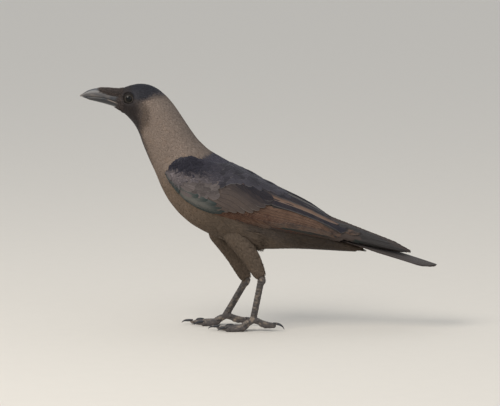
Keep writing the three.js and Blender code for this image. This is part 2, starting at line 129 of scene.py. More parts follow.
def mesh_object(name, corners, loops, sizes, materials):
    """A smooth-shaded object from flat lists of corner numbers and face sizes."""
    mesh = bpy.data.meshes.new(name)
    mesh.vertices.add(len(corners))
    place_corners(mesh, corners)
    mesh.loops.add(len(loops))
    mesh.loops.foreach_set("vertex_index", np.asarray(loops, np.int32))
    mesh.polygons.add(len(sizes))
    starts = np.concatenate([[0], np.cumsum(sizes)[:-1]])
    mesh.polygons.foreach_set("loop_start", starts.astype(np.int32))
    mesh.polygons.foreach_set("loop_total", np.asarray(sizes, np.int32))
    mesh.update(calc_edges=True)
    mesh.polygons.foreach_set("use_smooth", np.ones(len(sizes), bool))
    for material in materials:
        mesh.materials.append(material)
    piece = bpy.data.objects.new(name, mesh)
    bpy.context.scene.collection.objects.link(piece)
    return piece


def tube_faces(rings, count, closed_ends=True):
    """Corner numbers and sizes of a closed skin round stacked rings of count corners."""
    r, k = np.meshgrid(np.arange(rings - 1), np.arange(count), indexing="ij")
    a = r * count + k
    b = r * count + (k + 1) % count
    quads = np.stack([a, b, b + count, a + count], -1).reshape(-1)
    loops, sizes = [quads], [np.full((rings - 1) * count, 4)]
    if closed_ends:
        last = (rings - 1) * count
        loops += [np.arange(count)[::-1], last + np.arange(count)]
        sizes.append(np.array([count, count]))
    return np.concatenate(loops), np.concatenate(sizes)


def vertex_values(piece, name, values):
    """Keeps three numbers for each corner of a piece, for its material to read."""
    attribute = piece.data.attributes.new(name, "FLOAT_VECTOR", "POINT")
    attribute.data.foreach_set("vector", np.asarray(values, np.float32).ravel())


def bake_map(piece, places):
    """Gives a piece its map for baking, from one place for each corner of the mesh."""
    layer = piece.data.uv_layers.new(name="OFBake")
    corner = rows_of(piece.data.loops, "vertex_index", 1, int)[:, 0]
    layer.uv.foreach_set("vector", np.asarray(places, np.float32)[corner].ravel())


def facing_out(piece):
    """Turns every face of a closed piece outwards."""
    shape = bmesh.new()
    shape.from_mesh(piece.data)
    bmesh.ops.recalc_face_normals(shape, faces=shape.faces)
    shape.to_mesh(piece.data)
    shape.free()
    piece.data.update()
    return piece


def tube(name, corners, *materials):
    """A closed piece round stacked rings of corners."""
    loops, sizes = tube_faces(*corners.shape[:2])
    return facing_out(mesh_object(name, corners.reshape(-1, 3), loops, sizes, materials))


def settle(piece, slot, *replaced):
    """Fixes a finished piece to the crow's one body."""
    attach(piece, BODY)
    if replaced:
        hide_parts(*replaced)
    return piece


def box_of(node):
    """The lowest and the highest corner of a solid's box."""
    return np.array([tuple(corner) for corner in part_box(node)])


def round_ball(rings, ring):
    """Rings of places on a ball of radius 1, from its +Z end to its -Z end."""
    angle = np.pi * (np.arange(rings) + 0.5)[:, None] / rings
    turn = 2 * np.pi * np.arange(ring)[None, :] / ring
    flat = [np.sin(angle) * np.cos(turn), np.sin(angle) * np.sin(turn), np.cos(angle) + 0 * turn]
    return np.stack(flat, -1)


# ---------- the outline, read from the solids ----------
def closed_shell(name, solids, voxel, passes, balls=()):
    """One closed, even skin round several solids, a little swollen so that their gaps close.

    balls are middles and radii of round lumps that the skin takes in too.
    """
    corners, faces, _ = node_arrays(solids)
    loops, face_sizes = faces.ravel(), np.full(len(faces), 3)
    for middle, radius in balls:
        more, more_sizes = tube_faces(8, 12)
        loops = np.concatenate([loops, more + len(corners)])
        face_sizes = np.concatenate([face_sizes, more_sizes])
        corners = np.vstack([corners, middle - radius * round_ball(8, 12).reshape(-1, 3)])
    shell = mesh_object(name, corners, loops, face_sizes, [])
    place_corners(shell.data, corners + SWELL * rows_of(shell.data.vertices, "normal"))
    remesh = shell.modifiers.new("even", "REMESH")
    remesh.mode = "VOXEL"
    remesh.voxel_size = voxel
    soften = shell.modifiers.new("soften", "SMOOTH")
    soften.factor = 0.5
    soften.iterations = passes
    old, shell.data = shell.data, evaluated_mesh(shell, name)
    shell.modifiers.clear()
    bpy.data.meshes.remove(old)
    return shell


def evaluated_mesh(piece, name):
    """A plain mesh of a piece as its modifiers leave it."""
    graph = bpy.context.evaluated_depsgraph_get()
    mesh = bpy.data.meshes.new_from_object(piece.evaluated_get(graph))
    mesh.name = name
    return mesh


def mesh_tree(piece):
    """A search tree of a piece's faces, and the corners it was made from."""
    places = rows_of(piece.data.vertices, "co")
    faces = [tuple(face.vertices) for face in piece.data.polygons]
    return BVHTree.FromPolygons(places.tolist(), faces), places


def sunken(tree, places, normals, depths, share, reach):
    """The same depths under a shell, but no more than a share of its thickness at each place."""
    depths = depths.copy()
    for i, (place, normal) in enumerate(zip(places, normals)):
        hit = tree.ray_cast(Vector(place - normal * NUDGE), Vector(-normal), reach)
        if hit[0] is not None:
            depths[i] = min(depths[i], share * hit[3])
    return depths


def finish_shell(shell, places, kept, material):
    """Moves a shell's corners, and gives them what the material reads."""
    place_corners(shell.data, places)
    shell.data.polygons.foreach_set("use_smooth", np.ones(len(shell.data.polygons), bool))
    for key, values in kept.items():
        vertex_values(shell, key, values)
    shell.data.materials.append(material)
    shell.data.update()


def outline_tree(solids, voxel, passes):
    """The search tree of a shell that is only measured, and then thrown away."""
    shell = closed_shell("measured", solids, voxel, passes)
    tree, _ = mesh_tree(shell)
    bpy.data.meshes.remove(shell.data)
    return tree


def seen_from_outside(tree, centre, outward, reach=0.075):
    """Where a ray from outside first meets the tree on its way in to a centre, or None."""
    start = centre + outward * reach
    hit = tree.ray_cast(Vector(start), Vector(-outward), reach)
    return None if hit[0] is None else np.array(hit[0])


class Chart:
    """A sheet of places on the outline. u runs the way the feathers lie, and v across them."""

    def __init__(self, places, outward, closed, passes=3):
        self.closed = closed
        for _ in range(passes):
            places = self._softened(places)
        self.places = places
        self.along = np.gradient(places, axis=0) * (places.shape[0] - 1)
        if closed:
            ahead, behind = np.roll(places, -1, axis=1), np.roll(places, 1, axis=1)
            self.across = (ahead - behind) / 2 * places.shape[1]
        else:
            self.across = np.gradient(places, axis=1) * (places.shape[1] - 1)
        normals = unit(np.cross(self.along, self.across))
        facing = np.sign(np.mean(np.sum(normals * outward, axis=-1)))
        self.normals = normals * facing
        self.handed = facing

    def _softened(self, places):
        inner = places.copy()
        inner[1:-1] = places[1:-1] / 2 + (places[:-2] + places[2:]) / 4
        if self.closed:
            return inner / 2 + (np.roll(inner, 1, axis=1) + np.roll(inner, -1, axis=1)) / 4
        both = inner.copy()
        both[:, 1:-1] = inner[:, 1:-1] / 2 + (inner[:, :-2] + inner[:, 2:]) / 4
        return both

    def _between(self, grid, u, v):
        rows, columns = grid.shape[:2]
        row = np.clip(u, 0, 1) * (rows - 1)
        i = np.minimum(row.astype(int), rows - 2)
        a = (row - i)[..., None]
        if self.closed:
            column = np.mod(v, 1) * columns
            j = column.astype(int) % columns
            b = (column - np.floor(column))[..., None]
            k = (j + 1) % columns
        else:
            column = np.clip(v, 0, 1) * (columns - 1)
            j = np.minimum(column.astype(int), columns - 2)
            b = (column - j)[..., None]
            k = j + 1
        low = grid[i, j] * (1 - b) + grid[i, k] * b
        high = grid[i + 1, j] * (1 - b) + grid[i + 1, k] * b
        return low * (1 - a) + high * a

    def at(self, u, v):
        """The place and the outward direction at u and v, carried on straight past the edges."""
        u, v = np.broadcast_arrays(np.asarray(u, float), np.asarray(v, float))
        place = self._between(self.places, u, v)
        normal = unit(self._between(self.normals, u, v))
        beyond = (u - np.clip(u, 0, 1))[..., None]
        place = place + beyond * self._between(self.along, u, v)
        if not self.closed:
            beyond = (v - np.clip(v, 0, 1))[..., None]
            place = place + beyond * self._between(self.across, u, v)
        return place, normal

    def reach(self, u, v):
        """How many metres one unit of u, and one unit of v, stands for."""
        along = np.linalg.norm(self._between(self.along, u, v), axis=-1)
        across = np.linalg.norm(self._between(self.across, u, v), axis=-1)
        return np.maximum(along, 1e-4), np.maximum(across, 1e-4)


# The middle line of the body, from the lores to the tips of the undertail coverts, as X and Z.
SPINE = [
    (-0.1385, 0.2318), (-0.1290, 0.2300), (-0.1175, 0.2235), (-0.1062, 0.2105),
    (-0.0965, 0.1960), (-0.0840, 0.1760), (-0.0640, 0.1525), (-0.0400, 0.1330),
    (-0.0110, 0.1160), (0.0290, 0.0995), (0.0655, 0.0890), (0.1010, 0.0800),
]
WING_PARTS = ("coverts", "secondaries", "primaries")
FLESH = ["head", "neck", "trunk"]


def body_chart(trunk_tree, dressed_tree):
    """The plumage's outline round the spine: v is 0 on the back and goes round by the left side."""
    rows, columns = 150, 120
    share = np.linspace(0, 1, rows)
    flat = curve_through(SPINE, share)
    centres = np.stack([flat[:, 0], np.zeros(rows), flat[:, 1]], -1)
    heading = unit(np.gradient(centres, axis=0))
    over = np.stack([-heading[:, 2], np.zeros(rows), heading[:, 0]], -1)

    def meet(centre, ray, before):
        body = seen_from_outside(trunk_tree, centre, ray)
        if body is None:
            body = centre + ray * 0.004 if before is None else before
        dressed = seen_from_outside(dressed_tree, centre, ray)
        over_wing = 0 if dressed is None else 1 - smoothstep(body[0], -0.090, -0.074)
        return body if dressed is None else body + over_wing * (dressed - body)

    return chart_round(centres, over, np.tile([0.0, -1.0, 0.0], (rows, 1)), columns, meet)


def chart_round(centres, over, aside, columns, meet):
    """A round chart from rays that turn from over to aside about each of its centres."""
    places = np.zeros((len(centres), columns, 3))
    outward = np.zeros_like(places)
    for i, centre in enumerate(centres):
        for j, turn in enumerate(2 * np.pi * np.arange(columns) / columns):
            outward[i, j] = np.cos(turn) * over[i] + np.sin(turn) * aside[i]
            places[i, j] = meet(centre, outward[i, j], places[i - 1, j] if i else None)
    return Chart(places, outward, closed=True)


def limb_chart(side):
    """The outline round one leg's feathered part, from over its hip to its ankle."""
    corners, _, _ = node_arrays([f"thigh_{side}"])
    top, bottom = corners[:, 2].max(), corners[:, 2].min()
    hip = corners[corners[:, 2] > top - 0.012].mean(0)
    ankle = corners[corners[:, 2] < bottom + 0.006].mean(0)
    hip = hip + 0.017 * unit(hip - ankle)
    tree = sheet(f"leg_{side}")
    rows, columns = 48, 44
    heading = unit(ankle - hip)
    over = unit(np.cross(heading, [0.0, 1.0, 0.0]))
    aside = np.cross(heading, over)
    centres = hip + np.linspace(0, 1, rows)[:, None] * (ankle - hip)

    def meet(centre, ray, _):
        hit = seen_from_outside(tree, centre, ray, 0.020)
        return centre + ray * 0.004 if hit is None else hit

    return chart_round(centres, np.tile(over, (rows, 1)), np.tile(aside, (rows, 1)), columns, meet)


WING_START, WING_END = -0.0925, 0.1525


def wing_share(x):
    """The chart's u for a place along X, in metres."""
    return (np.asarray(x, float) - WING_START) / (WING_END - WING_START)


def spaced(hits, run, count):
    """Places at even steps along a row of hits, by how far along it each of them stands."""
    at = np.linspace(0, run[-1], count)
    return np.stack([np.interp(at, run, part) for part in np.transpose(hits)], -1)


def wing_chart(side, sign):
    """The outer face of a folded wing: v goes from its lower edge up to its upper edge."""
    tree = outline_tree([f"wing_{side}_{part}" for part in WING_PARTS], 0.0008, 2)
    rows, columns, rays = 124, 40, 90
    places = np.zeros((rows, columns, 3))
    for i, x in enumerate(np.linspace(WING_START + 0.0008, WING_END - 0.0006, rows)):
        top, bottom = wing_edges(tree, x, sign)
        middle = np.array([x, sign * 0.0035, bottom + 0.42 * (top - bottom)])
        hits = []
        for turn in np.linspace(-1.45, 1.62, rays):
            ray = np.array([0.0, sign * np.cos(turn), np.sin(turn)])
            hit = seen_from_outside(tree, middle, ray, 0.06)
            if hit is not None and sign * hit[1] > 0.0001:
                hits.append(hit)
        steps = np.linalg.norm(np.diff(hits, axis=0), axis=1)
        places[i] = spaced(hits, np.concatenate([[0], np.cumsum(steps)]), columns)
    outward = places * 0 + np.array([0.0, sign, 0.6])
    return Chart(places, outward, closed=False, passes=2)


def wing_edges(tree, x, sign):
    """The heights of a wing's upper and lower edges at a place along X."""
    heights = []
    for z in np.arange(0.070, 0.180, 0.001):
        hit = tree.ray_cast(Vector((x, sign * 0.08, z)), Vector((0.0, -sign, 0.0)), 0.08)
        if hit[0] is not None:
            heights.append(z)
    return max(heights), min(heights)


def tail_reach():
    """Where the chart of the tail starts and ends along X."""
    low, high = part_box("tail")
    return low[0] + 0.001, high[0] - 0.004


def tail_chart():
    """The upper face of the folded tail: u goes from its root to its tip, v from right to left."""
    tree = outline_tree(["tail"], 0.0008, 2)
    rows, columns = 60, 31
    places = np.zeros((rows, columns, 3))
    for i, x in enumerate(np.linspace(*tail_reach(), rows)):
        hits = []
        for y in np.linspace(-0.0245, 0.0245, 99):
            hit = tree.ray_cast(Vector((x, y, 0.15)), Vector((0.0, 0.0, -1.0)), 0.15)
            if hit[0] is not None:
                hits.append(np.array(hit[0]))
        places[i] = spaced(hits, np.arange(len(hits)), columns)
    return Chart(places, places * 0 + UP, closed=False, passes=2)


# ---------- colours and sizes that a user may change ----------
def paint(red, green, blue):
    """A colour as mixed on a screen, from 0 to 255, in the shader's own scale."""
    shares = [value / 255 for value in (red, green, blue)]
    return tuple(s / 12.92 if s <= 0.04045 else ((s + 0.055) / 1.055) ** 2.4 for s in shares)


def colour_property(name, what, red, green, blue):
    return bpy.props.FloatVectorProperty(
        name=name,
        description=what,
        default=paint(red, green, blue),
        subtype="COLOR",
        size=3,
        min=0,
        max=1,
    )


def length_property(name, what, default):
    return bpy.props.FloatProperty(
        name=name, description=what, default=default, min=0, unit="LENGTH", subtype="DISTANCE"
    )


class CrowColours(bpy.types.PropertyGroup):
    """The crow's colours."""

    cap: colour_property("Cap", "Glossy black of the crown", 37, 36, 40)
    face: colour_property("Face", "Brownish black of face and throat", 42, 35, 32)
    ear: colour_property("Ear coverts", "Dull brown behind and under the eye", 88, 77, 69)
    collar: colour_property("Collar", "Grey-brown of neck and upper breast", 126, 112, 102)
    nape: colour_property("Nape", "Cooler grey along the hind neck", 112, 101, 93)
    breast: colour_property("Breast", "Brown of the lower breast", 112, 97, 84)
    belly: colour_property("Belly", "Dark grey-brown of belly and thighs", 90, 78, 67)
    vent: colour_property("Vent", "Dark brown under the tail", 68, 56, 44)
    mantle: colour_property("Mantle", "Blue-black of the back", 56, 53, 58)
    shoulder: colour_property("Shoulder", "Blue-black of the lesser coverts", 31, 29, 36)
    worn: colour_property("Worn coverts", "Faded grey-brown of the larger coverts", 80, 70, 65)
    median: colour_property("Median coverts", "Faded coverts of the shoulder", 92, 84, 82)
    teal: colour_property("Wrist", "Green gloss of the primary coverts", 48, 58, 55)
    rust: colour_property("Rust", "Faded red-brown of the outer secondaries", 88, 56, 41)
    tan: colour_property("Tan", "Bleached brown of worn vanes", 116, 92, 76)
    quill: colour_property("Flight feathers", "Brown-black of primaries and tail", 57, 51, 49)
    slate: colour_property("Tertials", "Blue-grey black of the inner wing", 30, 29, 36)
    fringe: colour_property("Fringe", "Pale grey edge of worn feathers", 125, 120, 112)
    horn: colour_property("Bill", "Blue-grey black of the bill", 44, 46, 52)
    # Dust and wear on the bill, and the colour of the painted highlight band along its sides.
    horn_worn: colour_property("Worn bill", "Dusty highlight on the bill", 118, 108, 99)
    # Painted highlight: the colour of a thin pale streak along the lower mandible, under the corner of
    # the mouth.
    gape: colour_property("Gape", "Pale skin along the corner of the bill", 128, 114, 104)
    lid: colour_property("Eyelid", "Olive grey bare skin round the eye", 66, 62, 56)
    iris: colour_property("Iris", "Very dark brown iris", 44, 26, 18)
    leg: colour_property("Leg", "Dark grey scales of legs and toes", 80, 75, 73)
    dust: colour_property("Dust", "Dry tan dust on legs and toes", 170, 152, 133)


class CrowSizes(bpy.types.PropertyGroup):
    """Depths and lengths of the plumage."""

    face_feather: length_property("Face feather", "Length of a feather by the bill", 0.0042)
    crown_feather: length_property("Crown feather", "Length of a crown feather", 0.0068)
    neck_feather: length_property("Neck feather", "Length of a neck feather", 0.0115)
    body_feather: length_property("Body feather", "Length of a belly feather", 0.0145)
    tail_covert: length_property("Tail covert", "Length of a feather under the tail", 0.024)
    skin_voxel: length_property("Skin grain", "Spacing of the skin's corners", 0.00105)
    vane: length_property("Vane", "Thickness of a small feather", 0.00014)
    quill: length_property("Quill vane", "Thickness of a flight feather", 0.0004)
    seed: bpy.props.IntProperty(name="Seed", description="Sets how the feathers vary", default=7, min=0)


class CrowStage(bpy.types.PropertyGroup):
    """The floor, the light and the camera."""

    floor: colour_property("Floor", "Plain pale floor", 214, 208, 198)
    sky: bpy.props.FloatProperty(
        name="Sky", description="Strength of the even light", default=0.76, min=0
    )
    key: bpy.props.FloatProperty(
        name="Key", description="Power of the large soft lamp", default=28, min=0, unit="POWER"
    )
    rise: bpy.props.FloatProperty(
        name="Rise",
        description="Height of the camera over the crow",
        default=math.radians(6.5),
        subtype="ANGLE",
        unit="ROTATION",
    )
    distance: length_property("Distance", "From the camera to the crow", 3.5)
    view: length_property("View", "Breadth of the view at the crow", 0.5)


def colours():
    return bpy.context.scene.crow_colours


def sizes():
    return bpy.context.scene.crow_sizes


# ---------- markings ----------
# Outlines of the dark hood and the dark mantle as seen from the side, X and Z in millimetres.
HOOD = [
    (-160, 255), (-91, 255), (-92, 240), (-98, 237.5), (-106, 236.8), (-112, 234.8), (-118, 231.5),
    (-114, 227.5), (-112, 219), (-112.5, 211), (-118, 207.5), (-119, 202), (-116.5, 193),
    (-113.2, 184), (-111, 176), (-125, 176), (-160, 200),
]
MANTLE = [
    (-95, 158), (-92, 168), (-85, 175.5), (-69, 180.5), (-56, 184), (-49, 190), (40, 170),
    (110, 104), (110, 84), (70, 98), (0, 126), (-60, 150),
]


def inside_by(outline, x, z):
    """How far inside an outline each place is, in its own units; below 0 is outside."""
    corners = np.asarray(outline, float)
    x, z = np.asarray(x, float), np.asarray(z, float)
    nearest = np.full(x.shape, np.inf)
    crossings = np.zeros(x.shape, bool)
    for (ax, az), (bx, bz) in zip(corners, np.roll(corners, -1, axis=0)):
        dx, dz = bx - ax, bz - az
        t = np.clip(((x - ax) * dx + (z - az) * dz) / (dx * dx + dz * dz), 0, 1)
        nearest = np.minimum(nearest, np.hypot(x - ax - t * dx, z - az - t * dz))
        if dz != 0:
            spans = (az > z) != (bz > z)
            crossings ^= spans & (x < ax + dx * (z - az) / dz)
    return np.where(crossings, nearest, -nearest)


def blend(below, above, share):
    """Colours between two, by a share for each row."""
    share = np.asarray(share)[..., None]
    return np.asarray(below) * (1 - share) + np.asarray(above) * share


def markings(places, stray=0.0):
    """The plumage's colour at places, as rows of red, green and blue.

    stray moves each place across the borders, in millimetres, so that they aren't hard lines.
    """
    tints = colours()
    x, _, z = (np.asarray(places) / MM).T
    x, z = x + stray, z + stray * 0.6
    tint = blend(tints.collar, tints.nape, smoothstep(z + 1.15 * x, 96, 128))
    tint = blend(tint, tints.breast, smoothstep(-z, -176, -146))
    tint = blend(tint, tints.belly, smoothstep(x - 0.75 * z, -190, -128))
    tint = blend(tint, tints.vent, smoothstep(x, -6, 34))
    # Painted shade: the side of the belly just under the folded wing is darkened, where the wing's
    # shadow falls.
    painted_wing_shade = smoothstep(z + 0.35 * x, 92, 101) * smoothstep(x, -34, -12) * smoothstep(-x, -85, -50)
    tint = tint * (1 - 0.36 * painted_wing_shade)[..., None]
    tint = blend(tint, tints.rust, 0.35 * smoothstep(x, 94, 104))
    tint = blend(tint, tints.mantle, smoothstep(inside_by(MANTLE, x, z), -1.5, 2.5))
    cheek = smoothstep(x, -127, -119) * smoothstep(z, 200, 209) * smoothstep(-z, -236, -231)
    hood = blend(tints.face, tints.ear, cheek)
    crown = smoothstep(z - 0.1 * x, 242, 248) * smoothstep(x, -136, -127)
    hood = blend(hood, tints.cap, crown)
    depth = inside_by(HOOD, x, z) / (1 + 1.2 * smoothstep(x, -118, -106))
    return blend(tint, hood, smoothstep(depth, -1.8, 3.0) ** 0.8)


# ---------- laying nodes ----------
def add_node(tree, kind, settings=None, values=None):
    """A node of a kind, with its settings first and then its sockets' values or links."""
    made = tree.nodes.new(kind)
    for key, value in (settings or {}).items():
        setattr(made, key, value)
    for key, value in (values or {}).items():
        value = getattr(value, "socket", value)
        if isinstance(value, bpy.types.NodeSocket):
            tree.links.new(value, made.inputs[key])
        elif value is not None:
            made.inputs[key].default_value = value
    return made


class Wire:
    """A socket of a tree of nodes that adds and multiplies like a number."""

    def __init__(self, laying, socket):
        self.laying = laying
        self.socket = socket

    def __add__(self, other):
        return self.laying.sum("ADD", self, other)

    def __radd__(self, other):
        return self.laying.sum("ADD", other, self)

    def __sub__(self, other):
        return self.laying.sum("SUBTRACT", self, other)

    def __rsub__(self, other):
        return self.laying.sum("SUBTRACT", other, self)

    def __mul__(self, other):
        return self.laying.sum("MULTIPLY", self, other)

    def __rmul__(self, other):
        return self.laying.sum("MULTIPLY", other, self)


class Laying:
    """A tree of nodes while it is being laid."""

    def node(self, kind, settings=None, values=None, out=0):
        """One output of a new node, or nothing of a node without outputs."""
        made = add_node(self.tree, kind, settings, values)
        return Wire(self, made.outputs[out]) if len(made.outputs) else None

    def sum(self, operation, first, second=None):
        return self.node("ShaderNodeMath", {"operation": operation}, {0: first, 1: second})

    def vectors(self, operation, first, second, key=1):
        """Two vectors, or a vector and a number under the key Scale, made one."""
        return self.node("ShaderNodeVectorMath", {"operation": operation}, {0: first, key: second})

    def parts(self, vector):
        split = self.node("ShaderNodeSeparateXYZ", values={0: vector})
        return [Wire(self, output) for output in split.socket.node.outputs]

    def joined(self, x, y, z):
        return self.node("ShaderNodeCombineXYZ", values={0: x, 1: y, 2: z})


class Finish(Laying):
    """A material while its nodes are being laid."""

    def __init__(self, name):
        self.material = bpy.data.materials.new(name)
        self.material.use_nodes = True
        self.tree = self.material.node_tree
        self.tree.nodes.clear()

    def place(self):
        return self.node("ShaderNodeTexCoord", out="Object")

    def kept(self, name):
        """A vector that the mesh keeps for each corner."""
        settings = {"attribute_type": "GEOMETRY", "attribute_name": name}
        return self.node("ShaderNodeAttribute", settings, out="Vector")

    def speckle(self, place, scale, detail=2.0):
        values = {"Vector": place, "Scale": scale, "Detail": detail}
        return self.node("ShaderNodeTexNoise", values=values)

    def rise(self, value, low, high):
        """A soft rise from 0 to 1 while a value goes from low to high."""
        settings = {"interpolation_type": "SMOOTHSTEP"}
        return self.node("ShaderNodeMapRange", settings, {0: value, 1: low, 2: high})

    def mixed(self, share, first, second, way="MIX"):
        """Two colours mixed by a share."""
        first, second = (c if isinstance(c, Wire) else (*c, 1.0) for c in (first, second))
        settings = {"data_type": "RGBA", "blend_type": way}
        return self.node("ShaderNodeMix", settings, {0: share, 6: first, 7: second}, out=2)

    def grey(self, value):
        return self.node("ShaderNodeCombineColor", values={0: value, 1: value, 2: value})

    def relief(self, height, depth, strength):
        """A bump of a depth in metres."""
        values = {"Strength": strength, "Distance": depth, "Height": height}
        return self.node("ShaderNodeBump", values=values)

    def done(self, colour, roughness, normal=None, **steady):
        values = {"Base Color": colour, "Roughness": roughness, "Normal": normal}
        values.update({key.replace("_", " "): value for key, value in steady.items()})
        surface = self.node("ShaderNodeBsdfPrincipled", values=values)
        self.node("ShaderNodeOutputMaterial", values={"Surface": surface})
        return self.material


MATERIALS = {}


def finish_once(name, maker):
    """The material of a name, made the first time that it is asked for."""
    if name not in MATERIALS:
        MATERIALS[name] = maker(Finish(name))
    return MATERIALS[name]


def down_finish(f):
    """Small lax feathers: soft streaks that run with the barbs, over the kept tint."""
    along, across, chance = f.parts(f.kept("vane"))
    place = f.place()
    barbs = f.speckle(f.joined(across * 3.2 + chance * 41, along * 0.9, chance * 17), 1.6, 3.0)
    mottle = f.speckle(place, 95, 3.0)
    grain = f.speckle(place, 1500, 2.0)
    light = 0.66 + 0.42 * barbs + 0.32 * mottle + 0.16 * grain + 0.1 * chance
    tint = f.mixed(1.0, f.kept("tint"), f.grey(light * 0.87), "MULTIPLY")
    worn = f.rise(f.speckle(place, 160, 2.0), 0.52, 0.72) * 0.22
    tint = f.mixed(worn, tint, f.mixed(1.0, f.kept("tint"), (1.35, 1.22, 1.08), "MULTIPLY"))
    gloss = f.parts(f.kept("trim"))[2]
    return f.done(
        tint,
        0.82 - 0.36 * gloss,
        f.relief(barbs + 0.5 * grain, 0.0005, 0.55),
        Coat_Weight=gloss * 0.2,
        Coat_Roughness=0.4,
        Coat_Tint=(0.45, 0.55, 0.95, 1.0),
        Specular_IOR_Level=0.16,
    )


def vane_finish(f):
    """Firm feathers: a shaft, slanting barbs and a worn pale edge, over the kept tint."""
    along, across, chance = f.parts(f.kept("vane"))
    fringe, bleach, gloss = f.parts(f.kept("trim"))
    tints = colours()
    place = f.place()
    side = f.sum("ABSOLUTE", across)
    slant = along * 1000 - side * 10
    barbs = f.speckle(f.joined(slant * 1.15 + chance * 60, side * 0.7, chance * 9), 1.0, 3.0)
    fine = f.sum("SINE", slant * 9.0) * 0.5 + 0.5
    mottle = f.speckle(place, 130, 3.0)
    light = 0.74 + 0.26 * barbs + 0.24 * mottle + 0.08 * fine + 0.12 * chance
    tint = f.mixed(1.0, f.kept("tint"), f.grey(light * 0.92), "MULTIPLY")
    split = f.rise(barbs + 0.45 * mottle, 0.62, 0.86) * bleach
    tint = f.mixed(split, tint, tints.tan)
    edge = f.rise(side + 0.12 * barbs, 0.86, 1.0) * fringe
    tint = f.mixed(edge, tint, tints.fringe)
    shaft = f.rise(side, 0.06, 0.02)
    tint = f.mixed(shaft * 0.4, tint, (0.012, 0.011, 0.012))
    return f.done(
        tint,
        0.62 - 0.26 * gloss + 0.12 * barbs,
        f.relief(fine * 0.35 + barbs * 0.8 + shaft * 1.4, 0.0004, 0.6),
        Coat_Weight=gloss * 0.15,
        Coat_Roughness=0.34,
        Coat_Tint=(0.5, 0.62, 1.0, 1.0),
        Specular_IOR_Level=0.18,
    )


def skin_finish(f):
    """Bare skin under the plumage, and the scaly hide of legs and toes, over the kept tint."""
    place = f.place()
    grain = f.speckle(place, 900, 3.0)
    folds = f.node("ShaderNodeTexVoronoi", {"feature": "F1"}, {"Vector": place, "Scale": 520.0})
    light = 0.7 + 0.4 * grain + 0.25 * folds
    tint = f.mixed(1.0, f.kept("tint"), f.grey(light), "MULTIPLY")
    dust = f.rise(f.speckle(place, 210, 3.0), 0.5, 0.72) * f.parts(f.kept("trim"))[0]
    tint = f.mixed(dust * 0.55, tint, colours().dust)
    return f.done(tint, 0.72 + 0.15 * grain, f.relief(folds, 0.0005, 0.5), Specular_IOR_Level=0.22)


# ---------- skin ----------
LEG_PARTS = [f"tarsus_{side}" for side in SIDES] + [
    f"toe_{side}_{digit}" for side in SIDES for digit in DIGITS
]
SKIN_OF = FLESH + ["wing_left_coverts", "wing_right_coverts", "thigh_left", "thigh_right", *LEG_PARTS]


def evened(values, ends, passes):
    """Values for each corner, each pass halfway to the mean of their neighbours."""
    count = np.bincount(ends.ravel(), minlength=len(values)).astype(float)
    for _ in range(passes):
        total = np.zeros_like(values)
        np.add.at(total, ends[:, 0], values[ends[:, 1]])
        np.add.at(total, ends[:, 1], values[ends[:, 0]])
        mean = total / (count[:, None] if values.ndim > 1 else count)
        values = values / 2 + mean / 2
    return values


def coat_depths(places, solids):
    """How deep the skin lies at each place, and whether that is on a bare leg or on a wing."""
    corners, faces, owner = node_arrays(solids)
    tree = BVHTree.FromPolygons([tuple(c) for c in corners], [tuple(f) for f in faces])
    nearest = np.array([tree.find_nearest(Vector(p))[2] for p in places])
    names = [solids[k] for k in owner[nearest]]
    depth = {"head": 1.0, "neck": 2.3, "trunk": 2.6, "wing": 3.2, "thigh": 1.5}
    depths = np.array([depth.get(name.split("_")[0], 0.0) for name in names]) * MM
    bare = np.array([name.startswith(("tarsus", "toe")) for name in names], float)
    winged = np.array([name.startswith("wing") for name in names], float)
    face = smoothstep(-places[:, 0], 0.112, 0.124)
    depths = np.where(depths == 0.001, 0.0016 - 0.0008 * face, depths)
    return depths, bare, winged


def upper_and_lower(node):
    """The upper and then the lower end of one long solid."""
    one, two = furthest_ends(node)
    return (one, two) if one[2] > two[2] else (two, one)


def foot_pads():
    """The round pads under the joints of each toe, and the knob of each ankle."""
    balls = []
    for side in SIDES:
        for digit in DIGITS:
            toe = f"toe_{side}_{digit}"
            one, two = upper_and_lower(toe)
            run = two - one
            middles, depths, breadths, _, _ = cross_sections(toe, one + 0.38 * run, two - 0.08 * run, 4)
            for k, radius in enumerate(np.maximum(depths, breadths) * (1.16, 1.16, 1.2, 1.3)):
                radius = max(radius, 0.0019)
                balls.append((middles[k] - UP * radius * 0.16, radius))
        top, bottom = upper_and_lower(f"tarsus_{side}")
        balls.append((top + 0.13 * (bottom - top), 0.0042))
    return balls


def build_skin():
    """The skin under the plumage, with bare legs and toes, from one shell."""
    shell = closed_shell("skin", SKIN_OF, sizes().skin_voxel, 3, foot_pads())
    tree, places = mesh_tree(shell)
    normals = rows_of(shell.data.vertices, "normal")
    depths, bare, winged = coat_depths(places, SKIN_OF)
    ends = rows_of(shell.data.edges, "vertices", 2, int)
    depths = sunken(tree, places, normals, depths, 0.34, 0.012)
    depths = evened(depths, ends, 8) * (1 - bare)
    places = places - normals * (depths + UNDER_COAT)[:, None]
    places = np.where(bare[:, None] > 0.5, places, evened(places, ends, 6))
    places[:, 2] = np.maximum(places[:, 2], LOWEST_SKIN)
    tints = colours()
    tint = blend(markings(places), tints.shoulder, evened(winged, ends, 3))
    tint = blend(tint, tints.leg, evened(bare, ends, 4))
    kept = {"tint": tint, "trim": np.stack([bare, bare * 0, bare * 0], -1)}
    finish_shell(shell, places, kept, finish_once("hide", skin_finish))
    settle(shell, "leg_skin", *SKIN_OF)


# ---------- laying feathers ----------
PATCH = 0.003  # the share of the baking map that one small feather spans


def chosen(roots, keep):
    """The rows of a table of roots that are kept."""
    return {key: column[keep] for key, column in roots.items()}


def feather_map(u, v, across, along):
    """The baking map of feathers: a small patch for each, at its root's place on the unwrap."""
    patch_u = 0.01 + 0.98 * np.clip(u, 0, 1) + (along - 0.5) * PATCH
    patch_v = 0.01 + 0.98 * np.mod(v, 1.0001) + (across - 0.5) * PATCH
    return np.stack([patch_u, patch_v], -1)


